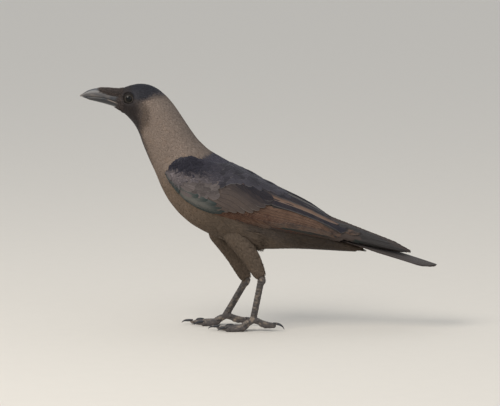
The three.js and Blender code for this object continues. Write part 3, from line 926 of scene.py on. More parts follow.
DOWN_SHARES = np.array([0.0, 0.42, 0.78, 1.0])
DOWN_WIDTHS = np.array([0.4, 1.0, 0.78, 0.1])
DOWN_ACROSS = np.array([-1.0, 0.0, 1.0, 0.0])
DOWN_HEIGHTS = np.array([0.0, 0.55, 0.0, -0.45])
THIGH_STEPS = (0.0060, 0.0034)  # a thigh feather stretched past these, along or across, is left out
VENT_DROOP, DROOP_FROM = 0.5, 0.0965


def lay_down(name, chart, roots):
    """One mesh of many small lax feathers. roots is a table with a row for each feather."""
    names = ("u", "v", "length", "width", "turn", "lift", "sink")
    u, v, long, wide, turn, lift, sink = (roots[key][:, None, None] for key in names)
    share = DOWN_SHARES[None, :, None]
    across = DOWN_ACROSS[None, None, :]
    along = long * share + 0 * across
    aside = wide / 2 * DOWN_WIDTHS[None, :, None] * across
    per_u, per_v = chart.reach(roots["u"], roots["v"])
    du = (np.cos(turn) * along - np.sin(turn) * aside) / per_u[:, None, None]
    dv = (np.sin(turn) * along + np.cos(turn) * aside) / per_v[:, None, None]
    place, normal = chart.at(u + du, v + dv)
    place = over_eyes(place)
    if name.startswith("vent"):
        place[..., 2] += VENT_DROOP * np.maximum(place[..., 0] - DROOP_FROM, 0)
    if name.startswith("thigh"):
        place, normal = laid_on(sheet(name.replace("thigh_feathers", "leg")), place)
        steps = [np.linalg.norm(np.diff(place, axis=k), axis=-1).max((1, 2)) for k in (1, 2)]
        whole = (steps[0] < THIGH_STEPS[0]) & (steps[1] < THIGH_STEPS[1])
        if not whole.all():
            return lay_down(name, chart, chosen(roots, whole))
    if name.startswith(("breast", "vent")):
        for side in SIDES:
            low, high = box_of(f"thigh_{side}")
            place = clear_of(sheet("thighs"), place, low - 0.002, high + 0.002)
    body = sizes().vane * DOWN_HEIGHTS[None, None, :] * (1.15 - 0.6 * share)
    camber = -0.05 * wide * across**2 * (1 - 0.4 * share)
    height = -sink * (1 - share) ** 1.4 + lift * share**1.6 + body + camber
    shape = (len(roots["u"]), len(DOWN_SHARES), 4)
    full = lambda value: np.broadcast_to(value, shape)
    column = lambda key: full(roots[key][:, None, None])
    fade = (0.92 + (column("tip") - 0.92) * share**2)[..., None]
    kept = {
        "tint": roots["tint"][:, None, None, :] * fade,
        "vane": np.stack([full(share), full(across), column("chance")], -1),
        "trim": np.stack([full(0), full(0), column("gloss")], -1),
    }
    patches = feather_map(full(u), full(v), full(across) * 0.5 + 0.5, full(share))
    corners = place + normal * height[..., None]
    return feathers(name, chart, corners, (0, 2), finish_once("down", down_finish), kept, patches)


def feathers(name, chart, corners, sides, finish, kept, patches):
    """One mesh of many feathers, with what each corner keeps and its place on the baking map."""
    count, rings, ring = corners.shape[:3]
    loops, face_sizes = tube_faces(rings, ring)
    if chart.handed > 0:
        loops, face_sizes = turned_round(loops, face_sizes)
    every = (loops[None, :] + rings * ring * np.arange(count)[:, None]).ravel()
    piece = mesh_object(name, corners.reshape(-1, 3), every, np.tile(face_sizes, count), [finish])
    crease(piece, ring, sides)
    for key, values in kept.items():
        vertex_values(piece, key, values.reshape(-1, 3))
    bake_map(piece, patches.reshape(-1, 2))
    return piece


def crease(piece, ring, sides):
    """Keeps a feather's upper face and under face apart, so that its vane is shaded flat."""
    mesh = piece.data
    ends = rows_of(mesh.edges, "vertices", 2, int) % ring
    hard = (ends[:, 0] == ends[:, 1]) & np.isin(ends[:, 0], sides)
    attribute = mesh.attributes.new("sharp_edge", "BOOLEAN", "EDGE")
    attribute.data.foreach_set("value", hard)


def turned_round(loops, face_sizes):
    """The same faces with their corners in the other order."""
    starts = np.concatenate([[0], np.cumsum(face_sizes)[:-1]])
    parts = [loops[s:s + n][::-1] for s, n in zip(starts, face_sizes)]
    return np.concatenate(parts), face_sizes


PLUME_SHARES = np.array([0, 0.1, 0.22, 0.36, 0.5, 0.62, 0.73, 0.82, 0.89, 0.94, 0.975, 1.0])
PLUME_ACROSS = np.array([-1, -0.6, -0.14, 0, 0.14, 0.6, 1, 0.6, 0.14, 0, -0.14, -0.6])
PLUME_UNDER = np.array([0, 0, 0, 0, 0, 0, 0, 1, 1, 1, 1, 1.0])


def lay_plumes(name, chart, share_of, plumes):
    """One mesh of firm feathers, each with a shaft from its root to its tip on a chart.

    Each plume has root and tip as (X in mm, v), width in mm, and the looks of Plume.
    """
    take = lambda key: np.array([getattr(p, key) for p in plumes], float)[:, None, None]
    share = PLUME_SHARES[None, :, None]
    across = PLUME_ACROSS[None, None, :]
    root, tip = take("root")[:, 0, 0], take("tip")[:, 0, 0]
    x, v = (root[:, k, None, None] + (tip - root)[:, k, None, None] * share for k in (0, 1))
    u = share_of(x * MM)
    tip_from = 1 - take("round")
    rounding = np.clip((share - tip_from) / (1 - tip_from), 0, 1)
    outline = np.sqrt(np.maximum(1 - rounding ** take("blunt"), 0.0025))
    outline = outline * (0.3 + 0.7 * smoothstep(share, 0, 0.3))
    shaft = take("shaft")
    spread = np.where(across < 0, shaft + across * (1 + shaft), shaft + across * (1 - shaft))
    half = take("width") * MM / 2
    _, per_v = chart.reach(u, v)
    place, normal = chart.at(u + 0 * across, v + half * outline * spread / per_v)
    thick = sizes().quill * take("thick") * (1.1 - 0.6 * share)
    ridge = 0.0001 * (np.abs(across) < 0.01) * (1 - 0.6 * share)
    height = (
        -take("root_sink") * MM * (1 - share) ** 1.3
        - take("tip_sink") * MM * share
        - take("tilt") * MM * spread
        - take("camber") * MM * spread**2
        + ridge
        - thick * PLUME_UNDER[None, None, :]
        - 0.5 * thick * (np.abs(across) == 1)
    )
    corners = place + normal * height[..., None]
    count, shape = len(plumes), corners.shape[:3]
    full = lambda value: np.broadcast_to(value, shape)
    length = np.linalg.norm(np.diff(place[:, :, 3], axis=1), axis=-1).sum(1)[:, None, None]
    tints = [[getattr(p, key) or p.tint for p in plumes] for key in ("tint", "tip_tint", "edge_tint")]
    near, far, low = np.array(tints)[:, :, None, None, :]
    tint = near + (far - near) * smoothstep(share, 0.55, 1.0)[..., None]
    lower = smoothstep(-full(across), 0.1, 0.7)[..., None]
    tint = tint + (low - tint) * lower * (low != near).any(-1, keepdims=True)
    kept = {
        "tint": np.broadcast_to(tint, (*shape, 3)),
        "vane": np.stack([full(length * share), full(across), full(take("chance"))], -1),
        "trim": np.stack([full(take(key)) for key in ("fringe", "bleach", "gloss")], -1),
    }
    row = np.arange(count)[:, None, None] + 0.5 + 0.42 * across
    strips = np.stack([0.01 + 0.98 * full(share), full(row) / count], -1)
    return feathers(name, chart, corners, (0, 6), finish_once("vane", vane_finish), kept, strips)


# ---------- where small feathers grow ----------
# For each point of SPINE: a feather's share of the length set for its part, its width over its
# length, and how far apart feathers stand along and across, in millimetres.
COAT_PITCH = [
    (0.9, 0.34, 0.72, 0.62), (1.0, 0.34, 0.8, 0.7), (1.0, 0.31, 1.0, 0.8),
    (1.1, 0.27, 1.1, 0.8), (0.85, 0.23, 1.15, 0.8), (1.0, 0.21, 1.25, 0.85),
    (1.1, 0.20, 1.35, 0.9), (0.9, 0.2, 1.4, 0.95), (1.0, 0.19, 1.5, 1.0),
    (1.1, 0.18, 1.5, 1.0), (0.85, 0.19, 1.6, 1.05), (1.0, 0.18, 1.6, 1.05),
]
# The length that is set for each point of SPINE.
COAT_LENGTHS = (
    ["face_feather"] * 2 + ["crown_feather"] * 2 + ["neck_feather"] * 3
    + ["body_feather"] * 3 + ["tail_covert"] * 2
)
EYE_ROOM = 0.0042  # how near the middle of an eye no small feather grows
EYE_GAP, THIGH_GAP = 0.0004, 0.0002  # how far off an eyeball, and off a thigh, feathers lie


def grown_on(chart, pitch_at, maker, first, last):
    """Staggered rows of roots on a round chart, as u and v, with u from first to last."""
    us, vs = [], []
    u, row = first, 0
    while u < last:
        along, around = pitch_at(u)
        ring = np.linspace(0, 1, 24, endpoint=False)
        per_u, per_v = chart.reach(np.full(24, u), ring)
        count = max(8, int(per_v.mean() / around))
        v = (np.arange(count) + (row % 2) / 2) / count
        us.append(u + maker.uniform(-0.42, 0.42, count) * along / per_u.mean())
        vs.append(v + maker.uniform(-0.34, 0.34, count) / count)
        u += along / per_u.mean()
        row += 1
    return np.clip(np.concatenate(us), first, last), np.mod(np.concatenate(vs), 1)


def covered(tree, places, outward, reach):
    """Whether something of a tree lies straight out from each place."""
    return np.array(
        [tree.ray_cast(Vector(p), Vector(n), reach)[0] is not None for p, n in zip(places, outward)]
    )


def outside_by(tree, places):
    """How far each place is outside a closed tree; below 0 is inside."""
    gaps = []
    for place in places:
        near, normal, _, gap = tree.find_nearest(Vector(place))
        gaps.append(math.copysign(gap, (Vector(place) - near).dot(normal)))
    return np.array(gaps)


@cache
def eyeball(side):
    """The middle and the radius of an eye."""
    low, high = box_of(f"eye_{side}")
    return (low + high) / 2, (high[0] - low[0]) / 2


def clear_of(tree, places, low, high):
    """The same places, but those within a closed tree, in a box, are moved out onto it."""
    flat = places.reshape(-1, 3).copy()
    for k in np.nonzero(((flat > low) & (flat < high)).all(1))[0]:
        spot, normal, _, away = tree.find_nearest(Vector(flat[k]))
        if away < 0.005 and (Vector(flat[k]) - spot).dot(normal) < THIGH_GAP:
            flat[k] = spot + normal * THIGH_GAP
    return flat.reshape(places.shape)


def laid_on(tree, places):
    """The nearest places on a closed tree, and which way is out at each of them."""
    found = [tree.find_nearest(Vector(place))[:2] for place in places.reshape(-1, 3)]
    spots, normals = np.array(found).transpose(1, 0, 2)
    return spots.reshape(places.shape), normals.reshape(places.shape)


def near_eye(places):
    """How far each place is from the middle of the nearer eye, seen from the side."""
    centre, _ = eyeball("left")
    off = np.hypot(*(places[:, (0, 2)] - centre[[0, 2]]).T)
    return np.where(np.abs(places[:, 1]) > 0.006, off, 1.0)


def over_eyes(places):
    """The same places, but those within an eyeball are moved out onto it."""
    for side in SIDES:
        centre, radius = eyeball(side)
        far = np.linalg.norm(places - centre, axis=-1, keepdims=True)
        out = np.maximum((radius + EYE_GAP) / np.maximum(far, 1e-6), 1)
        places = centre + (places - centre) * out
    return places


def body_roots(chart):
    """Every small feather of head, neck and body, as one table of columns."""
    maker = np.random.default_rng(sizes().seed)
    knots = np.linspace(0, 1, len(SPINE))
    column = lambda k, u: np.interp(u, knots, [row[k] for row in COAT_PITCH])
    u, v = grown_on(chart, lambda at: (column(2, at) * MM, column(3, at) * MM), maker, 0.004, 0.97)
    lengths = [getattr(sizes(), name) for name in COAT_LENGTHS]
    length = np.interp(u, knots, lengths) * column(0, u)
    length = length * maker.uniform(0.82, 1.12, len(u))
    per_u, _ = chart.reach(u, v)
    length = np.minimum(length, (1.01 - u) * per_u + 0.003)
    width = length * column(1, u) * maker.uniform(0.85, 1.15, len(u))
    place, normal = chart.at(u, v)
    for _ in range(5):
        tip, tip_normal = chart.at(u + length / per_u, v)
        length = np.where(near_eye(tip) < EYE_ROOM, 0.75 * length, length)
    wings = outline_tree([f"wing_{side}_{part}" for side in SIDES for part in WING_PARTS], 0.001, 1)
    thighs = sheet("thighs")
    under_wing = covered(wings, place, normal, 0.03) & covered(wings, tip, tip_normal, 0.03)
    under_wing &= place[:, 0] > -0.087
    in_thigh = np.maximum(outside_by(thighs, place), outside_by(thighs, tip)) < -0.003
    by_eye = (near_eye(place) < EYE_ROOM) | (near_eye(tip) < EYE_ROOM - 0.0004)
    by_bristles = u < 0.014 * maker.uniform(0, 1, len(u)) ** 2
    keep = ~(under_wing | in_thigh | by_eye | by_bristles)
    by_rim = 0.15 + 0.85 * smoothstep(near_eye(place), 0.0045, 0.0095)
    count = len(u)
    stray = maker.normal(0, 0.9, count)
    tint = markings(place, stray)
    dark = smoothstep(tint.mean(1), 0.09, 0.05)
    lower = smoothstep(u * 11, 6.0, 8.0)
    tint = tint * (1 + maker.normal(0, 0.05 + 0.06 * lower, count))[:, None]
    on_mantle = smoothstep(inside_by(MANTLE, place[:, 0] / MM, place[:, 2] / MM), 0, 6)
    tuft = np.exp(-(((tip[:, 0] + 0.001) / 0.005) ** 2)) * (np.abs(v - 0.5) < 0.16)
    length = length * (1 + 0.3 * tuft)
    roots = {
        "u": u, "v": v, "length": length, "width": width,
        "turn": maker.normal(0, 0.12 + 0.08 * lower, count),
        "sink": np.minimum(0.0014, 0.1 * length) * by_rim,
        "lift": maker.uniform(-0.00004, 0.00008, count) * (0.6 + 1.4 * lower)
        + tuft * maker.uniform(0, 0.004, count),
        "chance": maker.uniform(0, 1, count),
        "gloss": dark * maker.uniform(0.5, 1.0, count),
        "tip": 1.06 + on_mantle * maker.uniform(0, 1.1, count),
        "tint": np.clip(tint, 0.004, 1),
    }
    return chosen(roots, keep)


def thigh_roots(chart, side, away):
    """The small feathers of one thigh, which lie down the leg and end at the ankle."""
    maker = np.random.default_rng(sizes().seed + 11 + away)
    u, v = grown_on(chart, lambda at: (0.0017, 0.0013 - 0.0003 * at), maker, 0.0, 0.95)
    count = len(u)
    place, tip = (chart.at(u + du / chart.reach(u, v)[0], v)[0] for du in (0, 0.009))
    own = outline_tree([f"thigh_{side}"], 0.0011, 3)
    keep = (outside_by(own, place) < 0.0045) & (outside_by(own, tip) < 0.0030)
    keep &= np.abs(outside_by(sheet(f"leg_{side}"), place)) < 0.0030
    length = (0.0125 - 0.0068 * u**1.5) * maker.uniform(0.8, 1.15, count)
    tint = blend(colours().belly, markings(place), 0.35)
    tint = tint * (1 + maker.normal(0, 0.09, count))[:, None]
    roots = {
        "u": u, "v": v, "length": length, "width": length * 0.27,
        "turn": maker.normal(0, 0.12, count),
        "sink": np.minimum(0.0016, 0.16 * length),
        "lift": maker.uniform(0, 0.0003, count),
        "chance": maker.uniform(0, 1, count),
        "gloss": np.zeros(count),
        "tip": np.full(count, 1.05),
        "tint": np.clip(tint, 0.004, 1),
    }
    return chosen(roots, keep)


# ---------- firm feathers of wing and tail ----------
@dataclass
class Plume:
    """One firm feather: where it starts and ends on a chart, and how it looks."""

    root: tuple
    tip: tuple
    width: float
    tint: tuple
    tip_tint: tuple = None
    edge_tint: tuple = None
    root_sink: float = 2.0
    tip_sink: float = 0.4
    tilt: float = 0.35
    camber: float = 0.15
    round: float = 0.3
    blunt: float = 2.2
    shaft: float = -0.1
    fringe: float = 0.3
    bleach: float = 0.0
    gloss: float = 0.5
    thick: float = 1.0
    chance: float = 0.5


# Scale-like coverts. Each row: its name, X from and to, v low and high at each end, its steps
# along and across, length and width, all in millimetres but v, the colour, and the looks.
COVERT_FIELDS = [
    ("median", (-86, -56), (0.30, 0.36), (0.60, 0.62), (4.6, 4.2), (16, 9), "median",
     {"root_sink": 1.0, "tip_sink": 0.1, "fringe": 0.35, "gloss": 0.1, "round": 0.42,
      "thick": 0.6, "tilt": 0.2}),
    ("scapular", (-58, 15), (0.54, 0.79), (1.0, 1.03), (4.6, 5.4), (16, 9.5), "mantle",
     {"root_sink": 0.9, "tip_sink": 0.05, "fringe": 0.4, "gloss": 0.4, "round": 0.42,
      "thick": 0.6, "camber": 0.35, "tilt": 0.15}),
]

# Rows of larger feathers. Each row: its name, how many, the lines of the roots and of the tips
# from the lowest feather to the highest, the widths, the colour, and the looks.
WING_ROWS = [
    ("primary", 10,
     [(-84, 0.03), (-74, 0.07), (-64, 0.10), (-60, 0.14)],
     [(102, 0.02), (135, 0.06), (150.5, 0.40), (148, 0.60), (142, 0.78), (133, 0.90),
      (123, 0.97), (111, 0.97), (99, 0.95), (90, 0.88)],
     (9, 12), "quill",
     {"root_sink": 2.8, "tip_sink": 0.8, "round": 0.22, "blunt": 1.7, "shaft": -0.45,
      "fringe": 0.12, "gloss": 0.25}),
    ("secondary", 8,
     [(-58, 0.08), (-46, 0.16), (-32, 0.24), (-16, 0.36)],
     [(12, 0.09), (28, 0.23), (44, 0.29), (60, 0.33), (74, 0.37), (85, 0.42), (94, 0.48), (101, 0.56)],
     (15, 14), "worn",
     {"root_sink": 1.6, "tip_sink": 0.75, "round": 0.2, "shaft": -0.3, "fringe": 0.15,
      "bleach": 0.5, "gloss": 0.05, "thick": 0.8}),
    ("tertial", 5,
     [(-22, 0.52), (-20, 0.61), (-16, 0.72), (-12, 0.84), (-8, 0.95)],
     [(88, 0.70), (80, 0.79), (72, 0.86), (70, 0.92), (66, 0.985)],
     (15, 14), "slate",
     {"root_sink": 0.8, "tip_sink": 0.1, "round": 0.3, "shaft": 0.05, "fringe": 0.25,
      "bleach": 0.1, "gloss": 0.3}),
    ("greater", 9,
     [(-64, 0.34), (-52, 0.42), (-38, 0.50), (-22, 0.62)],
     [(-37, 0.19), (-30, 0.17), (-22, 0.18), (-14, 0.21), (-6, 0.27), (1, 0.34), (7, 0.42),
      (12, 0.50), (15, 0.58)],
     (14, 15), "worn",
     {"root_sink": 0.9, "tip_sink": 0.0, "round": 0.4, "shaft": -0.05, "fringe": 0.25,
      "bleach": 0.08, "gloss": 0.12, "thick": 0.7}),
    ("wrist", 7,
     [(-90, 0.08), (-88, 0.16), (-85, 0.25), (-81, 0.34)],
     [(-44, 0.06), (-37, 0.09), (-34, 0.14), (-37, 0.19), (-43, 0.24), (-52, 0.28), (-60, 0.32)],
     (7, 9), "teal",
     {"root_sink": 0.9, "tip_sink": 0.0, "round": 0.3, "shaft": -0.2, "fringe": 0.25,
      "gloss": 0.6, "thick": 0.7}),
]


def wing_length(chart, x):
    """How long the wing's outline is from edge to edge at X, in millimetres."""
    _, per_v = chart.reach(wing_share(np.array([x * MM])), np.array([0.5]))
    return float(per_v[0]) / MM


def covert_field(chart, field, maker):
    """The scale-like coverts of one field, row behind row."""
    _, (start, end), low, high, (step, aside), (length, width), tint, looks = field
    plumes, row = [], 0
    for x in np.arange(end, start - 0.1, -step):
        share = (x - start) / (end - start)
        v_low = low[0] + (low[1] - low[0]) * share
        v_high = high[0] + (high[1] - high[0]) * share
        gap = aside / wing_length(chart, x)
        for v in np.arange(v_low + gap * (row % 2) / 2, v_high, gap):
            at = (x + maker.uniform(-0.8, 0.8), v + maker.uniform(-0.12, 0.12) * gap)
            long = length * maker.uniform(0.9, 1.12)
            base = np.array(getattr(colours(), tint)) * maker.uniform(0.65, 1.3)
            plumes.append(
                Plume(
                    at, (at[0] + long, at[1] + maker.uniform(-0.035, 0.025)), width, tuple(base),
                    chance=maker.uniform(0, 1), **looks,
                )
            )
        row += 1
    return plumes


def shoulder_roots(chart, maker):
    """The small smooth feathers of the shoulder, from the wing's front edge back."""
    rows = []
    for x in np.arange(-94, -43, 1.4):
        gap = 1.3 / wing_length(chart, x)
        low = np.interp(x, (-86, -84, -79, -69, -59, -50), (0, 0.45, 0.56, 0.58, 0.58, 0.60))
        v = np.arange(low, 1.04, gap)
        line = np.interp(x, (-94, -86, -79, -69, -59, -50), (0.64, 0.54, 0.56, 0.58, 0.58, 0.6))
        rows.append((x + maker.uniform(-0.7, 0.7, len(v)), v, v - line, v * 0 + gap))
    x, v, above, gap = np.concatenate(rows, axis=1)
    count = len(x)
    v = v + maker.uniform(-0.4, 0.4, count) * gap
    rear = np.interp(v, (0.67, 0.90, 1.0), (-46, -48, -54)) + maker.normal(0, 1.2, count)
    length = 0.0088 * maker.uniform(0.85, 1.15, count)
    tints = colours()
    lowest = smoothstep(above + maker.normal(0, 0.04, count), -0.02, 0.2)
    tint = blend(tints.teal, tints.median, smoothstep(v, 0.15, 0.4))
    tint = blend(tint, tints.shoulder, lowest)
    tint = blend(tint, tints.mantle, 0.8 * smoothstep(x - rear, -22, -2))
    tint = tint * maker.uniform(0.8, 1.25, count)[:, None]
    u = wing_share(x * MM)
    roots = {
        "u": u, "v": v, "length": length, "width": length * 0.42,
        "turn": maker.normal(0, 0.08, count),
        "sink": np.full(count, 0.0011),
        "lift": maker.uniform(0, 0.00008, count),
        "chance": maker.uniform(0, 1, count),
        "gloss": maker.uniform(0.5, 0.9, count),
        "tip": maker.uniform(1.0, 1.4, count),
        "tint": tint,
    }
    return chosen(roots, x < rear)


def wing_row(row, maker):
    """The larger feathers of one row, from the lowest to the highest, each over the last."""
    name, count, roots, tips, (wide_low, wide_high), tint, looks = row
    share = np.linspace(0, 1, count)
    starts = curve_through(roots, share)
    ends = curve_through(tips, share)
    plumes = []
    for k in range(count):
        base = np.array(getattr(colours(), tint)) * maker.uniform(0.86, 1.14)
        special = special_looks(name, k, share[k], base)
        mixed = {**looks, **special}
        plumes.append(
            Plume(
                tuple(starts[k]),
                tuple(ends[k] + np.array([maker.uniform(-0.8, 0.8), 0])),
                wide_low + (wide_high - wide_low) * share[k],
                mixed.pop("tint", tuple(base)),
                chance=maker.uniform(0, 1),
                **mixed,
            )
        )
    return plumes


def special_looks(name, k, share, base):
    """What sets single feathers of a row apart, as fading and wear have left them; on the wrist,
    painted sheen and shade.
    """
    tints = colours()
    if name == "secondary":
        faded = blend(tints.rust, tints.tan, smoothstep(share, 0.15, 0.8) * 0.55)
        worn = blend(base, tints.quill, smoothstep(share, 0.4, 0.9))
        return {"tint": tuple(faded * (0.72, 0.58)[k % 2]), "tip_tint": tuple(worn * 0.85)}
    if name == "primary":
        green = blend(tints.quill, tints.teal, 0.7 if k < 2 else 0.15)
        near = tints.rust if k == 0 else green
        return {"tint": tuple(np.array(near) * 0.8), "tip_tint": tuple(green)}
    if name == "wrist":
        # Painted sheen and shade: the wrist feathers are paler in the upper part of the row, and darker
        # at their tips, the lowest ones most.
        pale = blend(tints.teal, tints.fringe, (0, 0.2, 0.4, 0.6, 0.6, 0.5, 0.3)[k])
        return {"tint": tuple(pale), "tip_tint": tuple(np.array(tints.teal) * (0.6 + 0.08 * k))}
    if name == "tertial" and k == 1:
        return {"bleach": 0.5, "edge_tint": tuple(np.array(tints.tan) * 0.9)}
    if name == "tertial" and k == 4:
        return {"edge_tint": tuple(np.array(tints.fringe) * 0.38)}
    if name == "greater":
        return {"tint": tuple(blend(tints.worn, tints.slate, smoothstep(share, 0.5, 1.0)))}
    return {}


TAIL_PAIRS = 6


def tail_share(x):
    """The chart's u for a place along X, in metres."""
    first, last = tail_reach()
    return (np.asarray(x, float) - first) / (last - first)


def tail_plumes():
    """Six pairs of tail feathers, the middle pair on top and each next pair lower and shorter."""
    maker = np.random.default_rng(sizes().seed + 5)
    tints = colours()
    plumes = []
    for k in reversed(range(TAIL_PAIRS)):
        for sign in (-1, 1):
            off = 0.045 + 0.072 * k
            # Painted light: each outer, lower pair is made lighter, standing in for light on the side
            # of the tail that lies in shade under the wing tips.
            base = np.array(tints.quill) * maker.uniform(0.9, 1.1) * (1 + 0.12 * k)
            plumes.append(
                Plume(
                    (74, 0.5 + sign * off * 0.35),
                    (178.3 - 1.1 * k**1.35, 0.5 + sign * off),
                    15.5 - 0.6 * k,
                    tuple(base),
                    edge_tint=tuple(blend(tints.quill, tints.fringe, 0.16)),
                    root_sink=0.3 + 0.2 * k,
                    tip_sink=0.05 + 0.16 * k,
                    tilt=0.0,
                    camber=0.25,
                    round=0.16,
                    blunt=2.0,
                    shaft=-sign * -0.1 * k / 2,
                    fringe=0.1,
                    gloss=0.12,
                    chance=maker.uniform(0, 1),
                )
            )
    return plumes


# ---------- bill, eyes and lids ----------
# Stations of the bill: X, culmen, tomium and chin heights, and half width, in millimetres.
BILL = [
    (-178.5, 234.6, 233.6, 232.6, 0.5), (-176.0, 236.3, 233.4, 231.6, 1.3),
    (-171.0, 239.2, 233.4, 230.4, 2.6), (-164.0, 241.4, 233.3, 228.8, 4.1),
    (-155.0, 241.7, 232.4, 226.6, 5.8), (-147.0, 240.6, 230.2, 224.2, 7.0),
    (-138.0, 239.8, 226.8, 221.6, 8.2), (-133.0, 239.4, 225.0, 220.4, 8.6),
]
BILL_GAP = 0.0003


def horn_finish(f):
    """Dark glossy horn, dusty and worn paler in patches and at the tip, with fine growth lines; a pale
    band along its sides, a lighter blue-grey top on the culmen and a thin pale streak under the corner
    of the mouth are painted highlights.
    """
    tints = colours()
    place = f.place()
    x, _, z = f.parts(place)
    lines = f.speckle(f.vectors("MULTIPLY", place, (120.0, 500.0, 900.0)), 1.0, 3.0)
    cloud = f.speckle(place, 170, 3.0)
    fine = f.speckle(place, 1300, 2.0)
    worn = f.rise(cloud + 0.35 * lines, 0.62, 0.9)
    # Painted highlight: a pale band along the side of the upper mandible.
    band = f.rise(z, 0.2325, 0.2350) * f.rise(z, 0.2400, 0.2372)
    tint = f.mixed(worn * 0.25 + band * (0.1 + 0.34 * lines), tints.horn, tints.horn_worn)
    # Painted highlight: the top of the culmen is made a lighter blue-grey, as where it faces the sky.
    culmen = f.rise(z, 0.2380, 0.2412) * f.rise(x, -0.1755, -0.1700)
    tint = f.mixed(culmen * 0.25, tint, (0.155, 0.16, 0.165))
    tint = f.mixed(f.rise(z, 0.2330, 0.2296) * 0.8, tint, tuple(0.35 * c for c in tints.horn))
    tip = f.rise(x, -0.1745, -0.1785)
    tint = f.mixed(tip * 0.7, tint, tints.horn_worn)
    under = z + 0.36 * x
    # Painted highlight: a thin pale streak along the lower mandible, just under the rear corner of the
    # mouth.
    gape = f.rise(x, -0.1515, -0.1495) * f.rise(x, -0.1395, -0.1415)
    gape = gape * f.rise(under, 0.1757, 0.1763) * f.rise(under, 0.1771, 0.1768)
    tint = f.mixed(gape * 0.8, tint, tints.gape)
    return f.done(
        tint,
        0.3 + 0.22 * worn + 0.14 * fine,
        f.relief(lines * 0.6 + fine * 0.25, 0.00022, 0.5),
        Coat_Weight=0.18,
        Coat_Roughness=0.28,
    )


def bill_half(name, side, tip):
    """One half of the bill: side 1 is the upper and -1 the lower."""
    table = np.array(BILL)
    rings, ring = 44, 30
    x = tip + (table[-1, 0] - tip) * np.linspace(0, 1, rings) ** 1.5
    knots = np.interp(x, table[:, 0], np.linspace(0, 1, len(table)))
    row = curve_through(table, knots)
    tomium = row[:, 2] + (0 if side > 0 else -BILL_GAP / MM)
    far = row[:, 1] if side > 0 else row[:, 3]
    turn = np.pi * np.arange(ring) / (ring - 1)
    fullness = 0.85 if side > 0 else 0.8
    rise = np.abs(far - tomium)[:, None] * np.sin(turn)[None, :] ** fullness
    across = row[:, 4][:, None] * np.cos(turn)[None, :]
    across = across * (1 - 0.10 * np.sin(turn) ** 2)[None, :]
    if side < 0:
        point = np.clip((x - tip) / 7, 0.02, 1)[:, None] ** 0.55
        rise, across = rise * point, across * point
    corners = np.stack([x[:, None] + 0 * rise, across, tomium[:, None] + side * rise], -1)
    return tube(name, corners * MM, finish_once("horn", horn_finish))


def build_bill():
    """Both halves of the bill in the places of their solids."""
    upper = bill_half("bill_upper_horn", 1, BILL[0][0])
    lower = bill_half("bill_lower_horn", -1, -176.2)
    settle(upper, "bill_horn", "bill_upper")
    settle(lower, "bill_horn", "bill_lower")


def eye_finish(f):
    """A wet dark eye: a black pupil in a very dark brown iris."""
    across, around, _ = f.parts(f.kept("vane"))
    rays = f.speckle(f.joined(around * 30, across * 2, 0.0), 1.0, 3.0)
    iris = f.mixed(rays, (0.012, 0.007, 0.005), colours().iris)
    rim = f.rise(across, 0.60, 0.72)
    iris = f.mixed(rim, iris, (0.006, 0.005, 0.005))
    tint = f.mixed(f.rise(across, 0.33, 0.37), (0.002, 0.002, 0.002), iris)
    return f.done(tint, 0.3, Coat_Weight=0.32, Coat_Roughness=0.03, Specular_IOR_Level=0.05)


def build_eye(side, sign):
    """One eyeball, with how far each corner is from the middle of the pupil."""
    centre, radius = eyeball(side)
    ball = round_ball(22, 32)
    bulge = 1 + 0.02 * smoothstep(ball[..., 2:], 0.75, 1.0)
    corners = centre + radius * (ball * bulge)[..., (0, 2, 1)] * (1, sign, 1)
    piece = tube(f"eyeball_{side}", corners, finish_once("eyeball", eye_finish))
    across = np.arccos(ball[..., 2]) / np.pi * 2
    around = np.mod(np.arctan2(ball[..., 1], ball[..., 0]) / (2 * np.pi), 1)
    vertex_values(piece, "vane", np.stack([across, around, 0 * across], -1).reshape(-1, 3))
    settle(piece, "eye", f"eye_{side}")


def lid_finish(f):
    """Bare finely wrinkled skin."""
    place = f.place()
    folds = f.speckle(place, 1500, 3.0)
    tint = f.mixed(folds, tuple(0.45 * c for c in colours().lid), colours().lid)
    return f.done(tint, 0.6, f.relief(folds, 0.0003, 0.6), Specular_IOR_Level=0.25)


# Breadth and height of each rim's inner and outer edge from the middle of the eye, and how thick
# it is, in millimetres. The lid is bare and pale; the orbit is the dark hide round it.
RIMS = {
    "eyelid": ((3.45, 3.3), (4.15, 4.0), 0.15, "lid"),
    "orbit": ((3.95, 3.8), (7.0, 6.8), 0.04, "hide"),
}


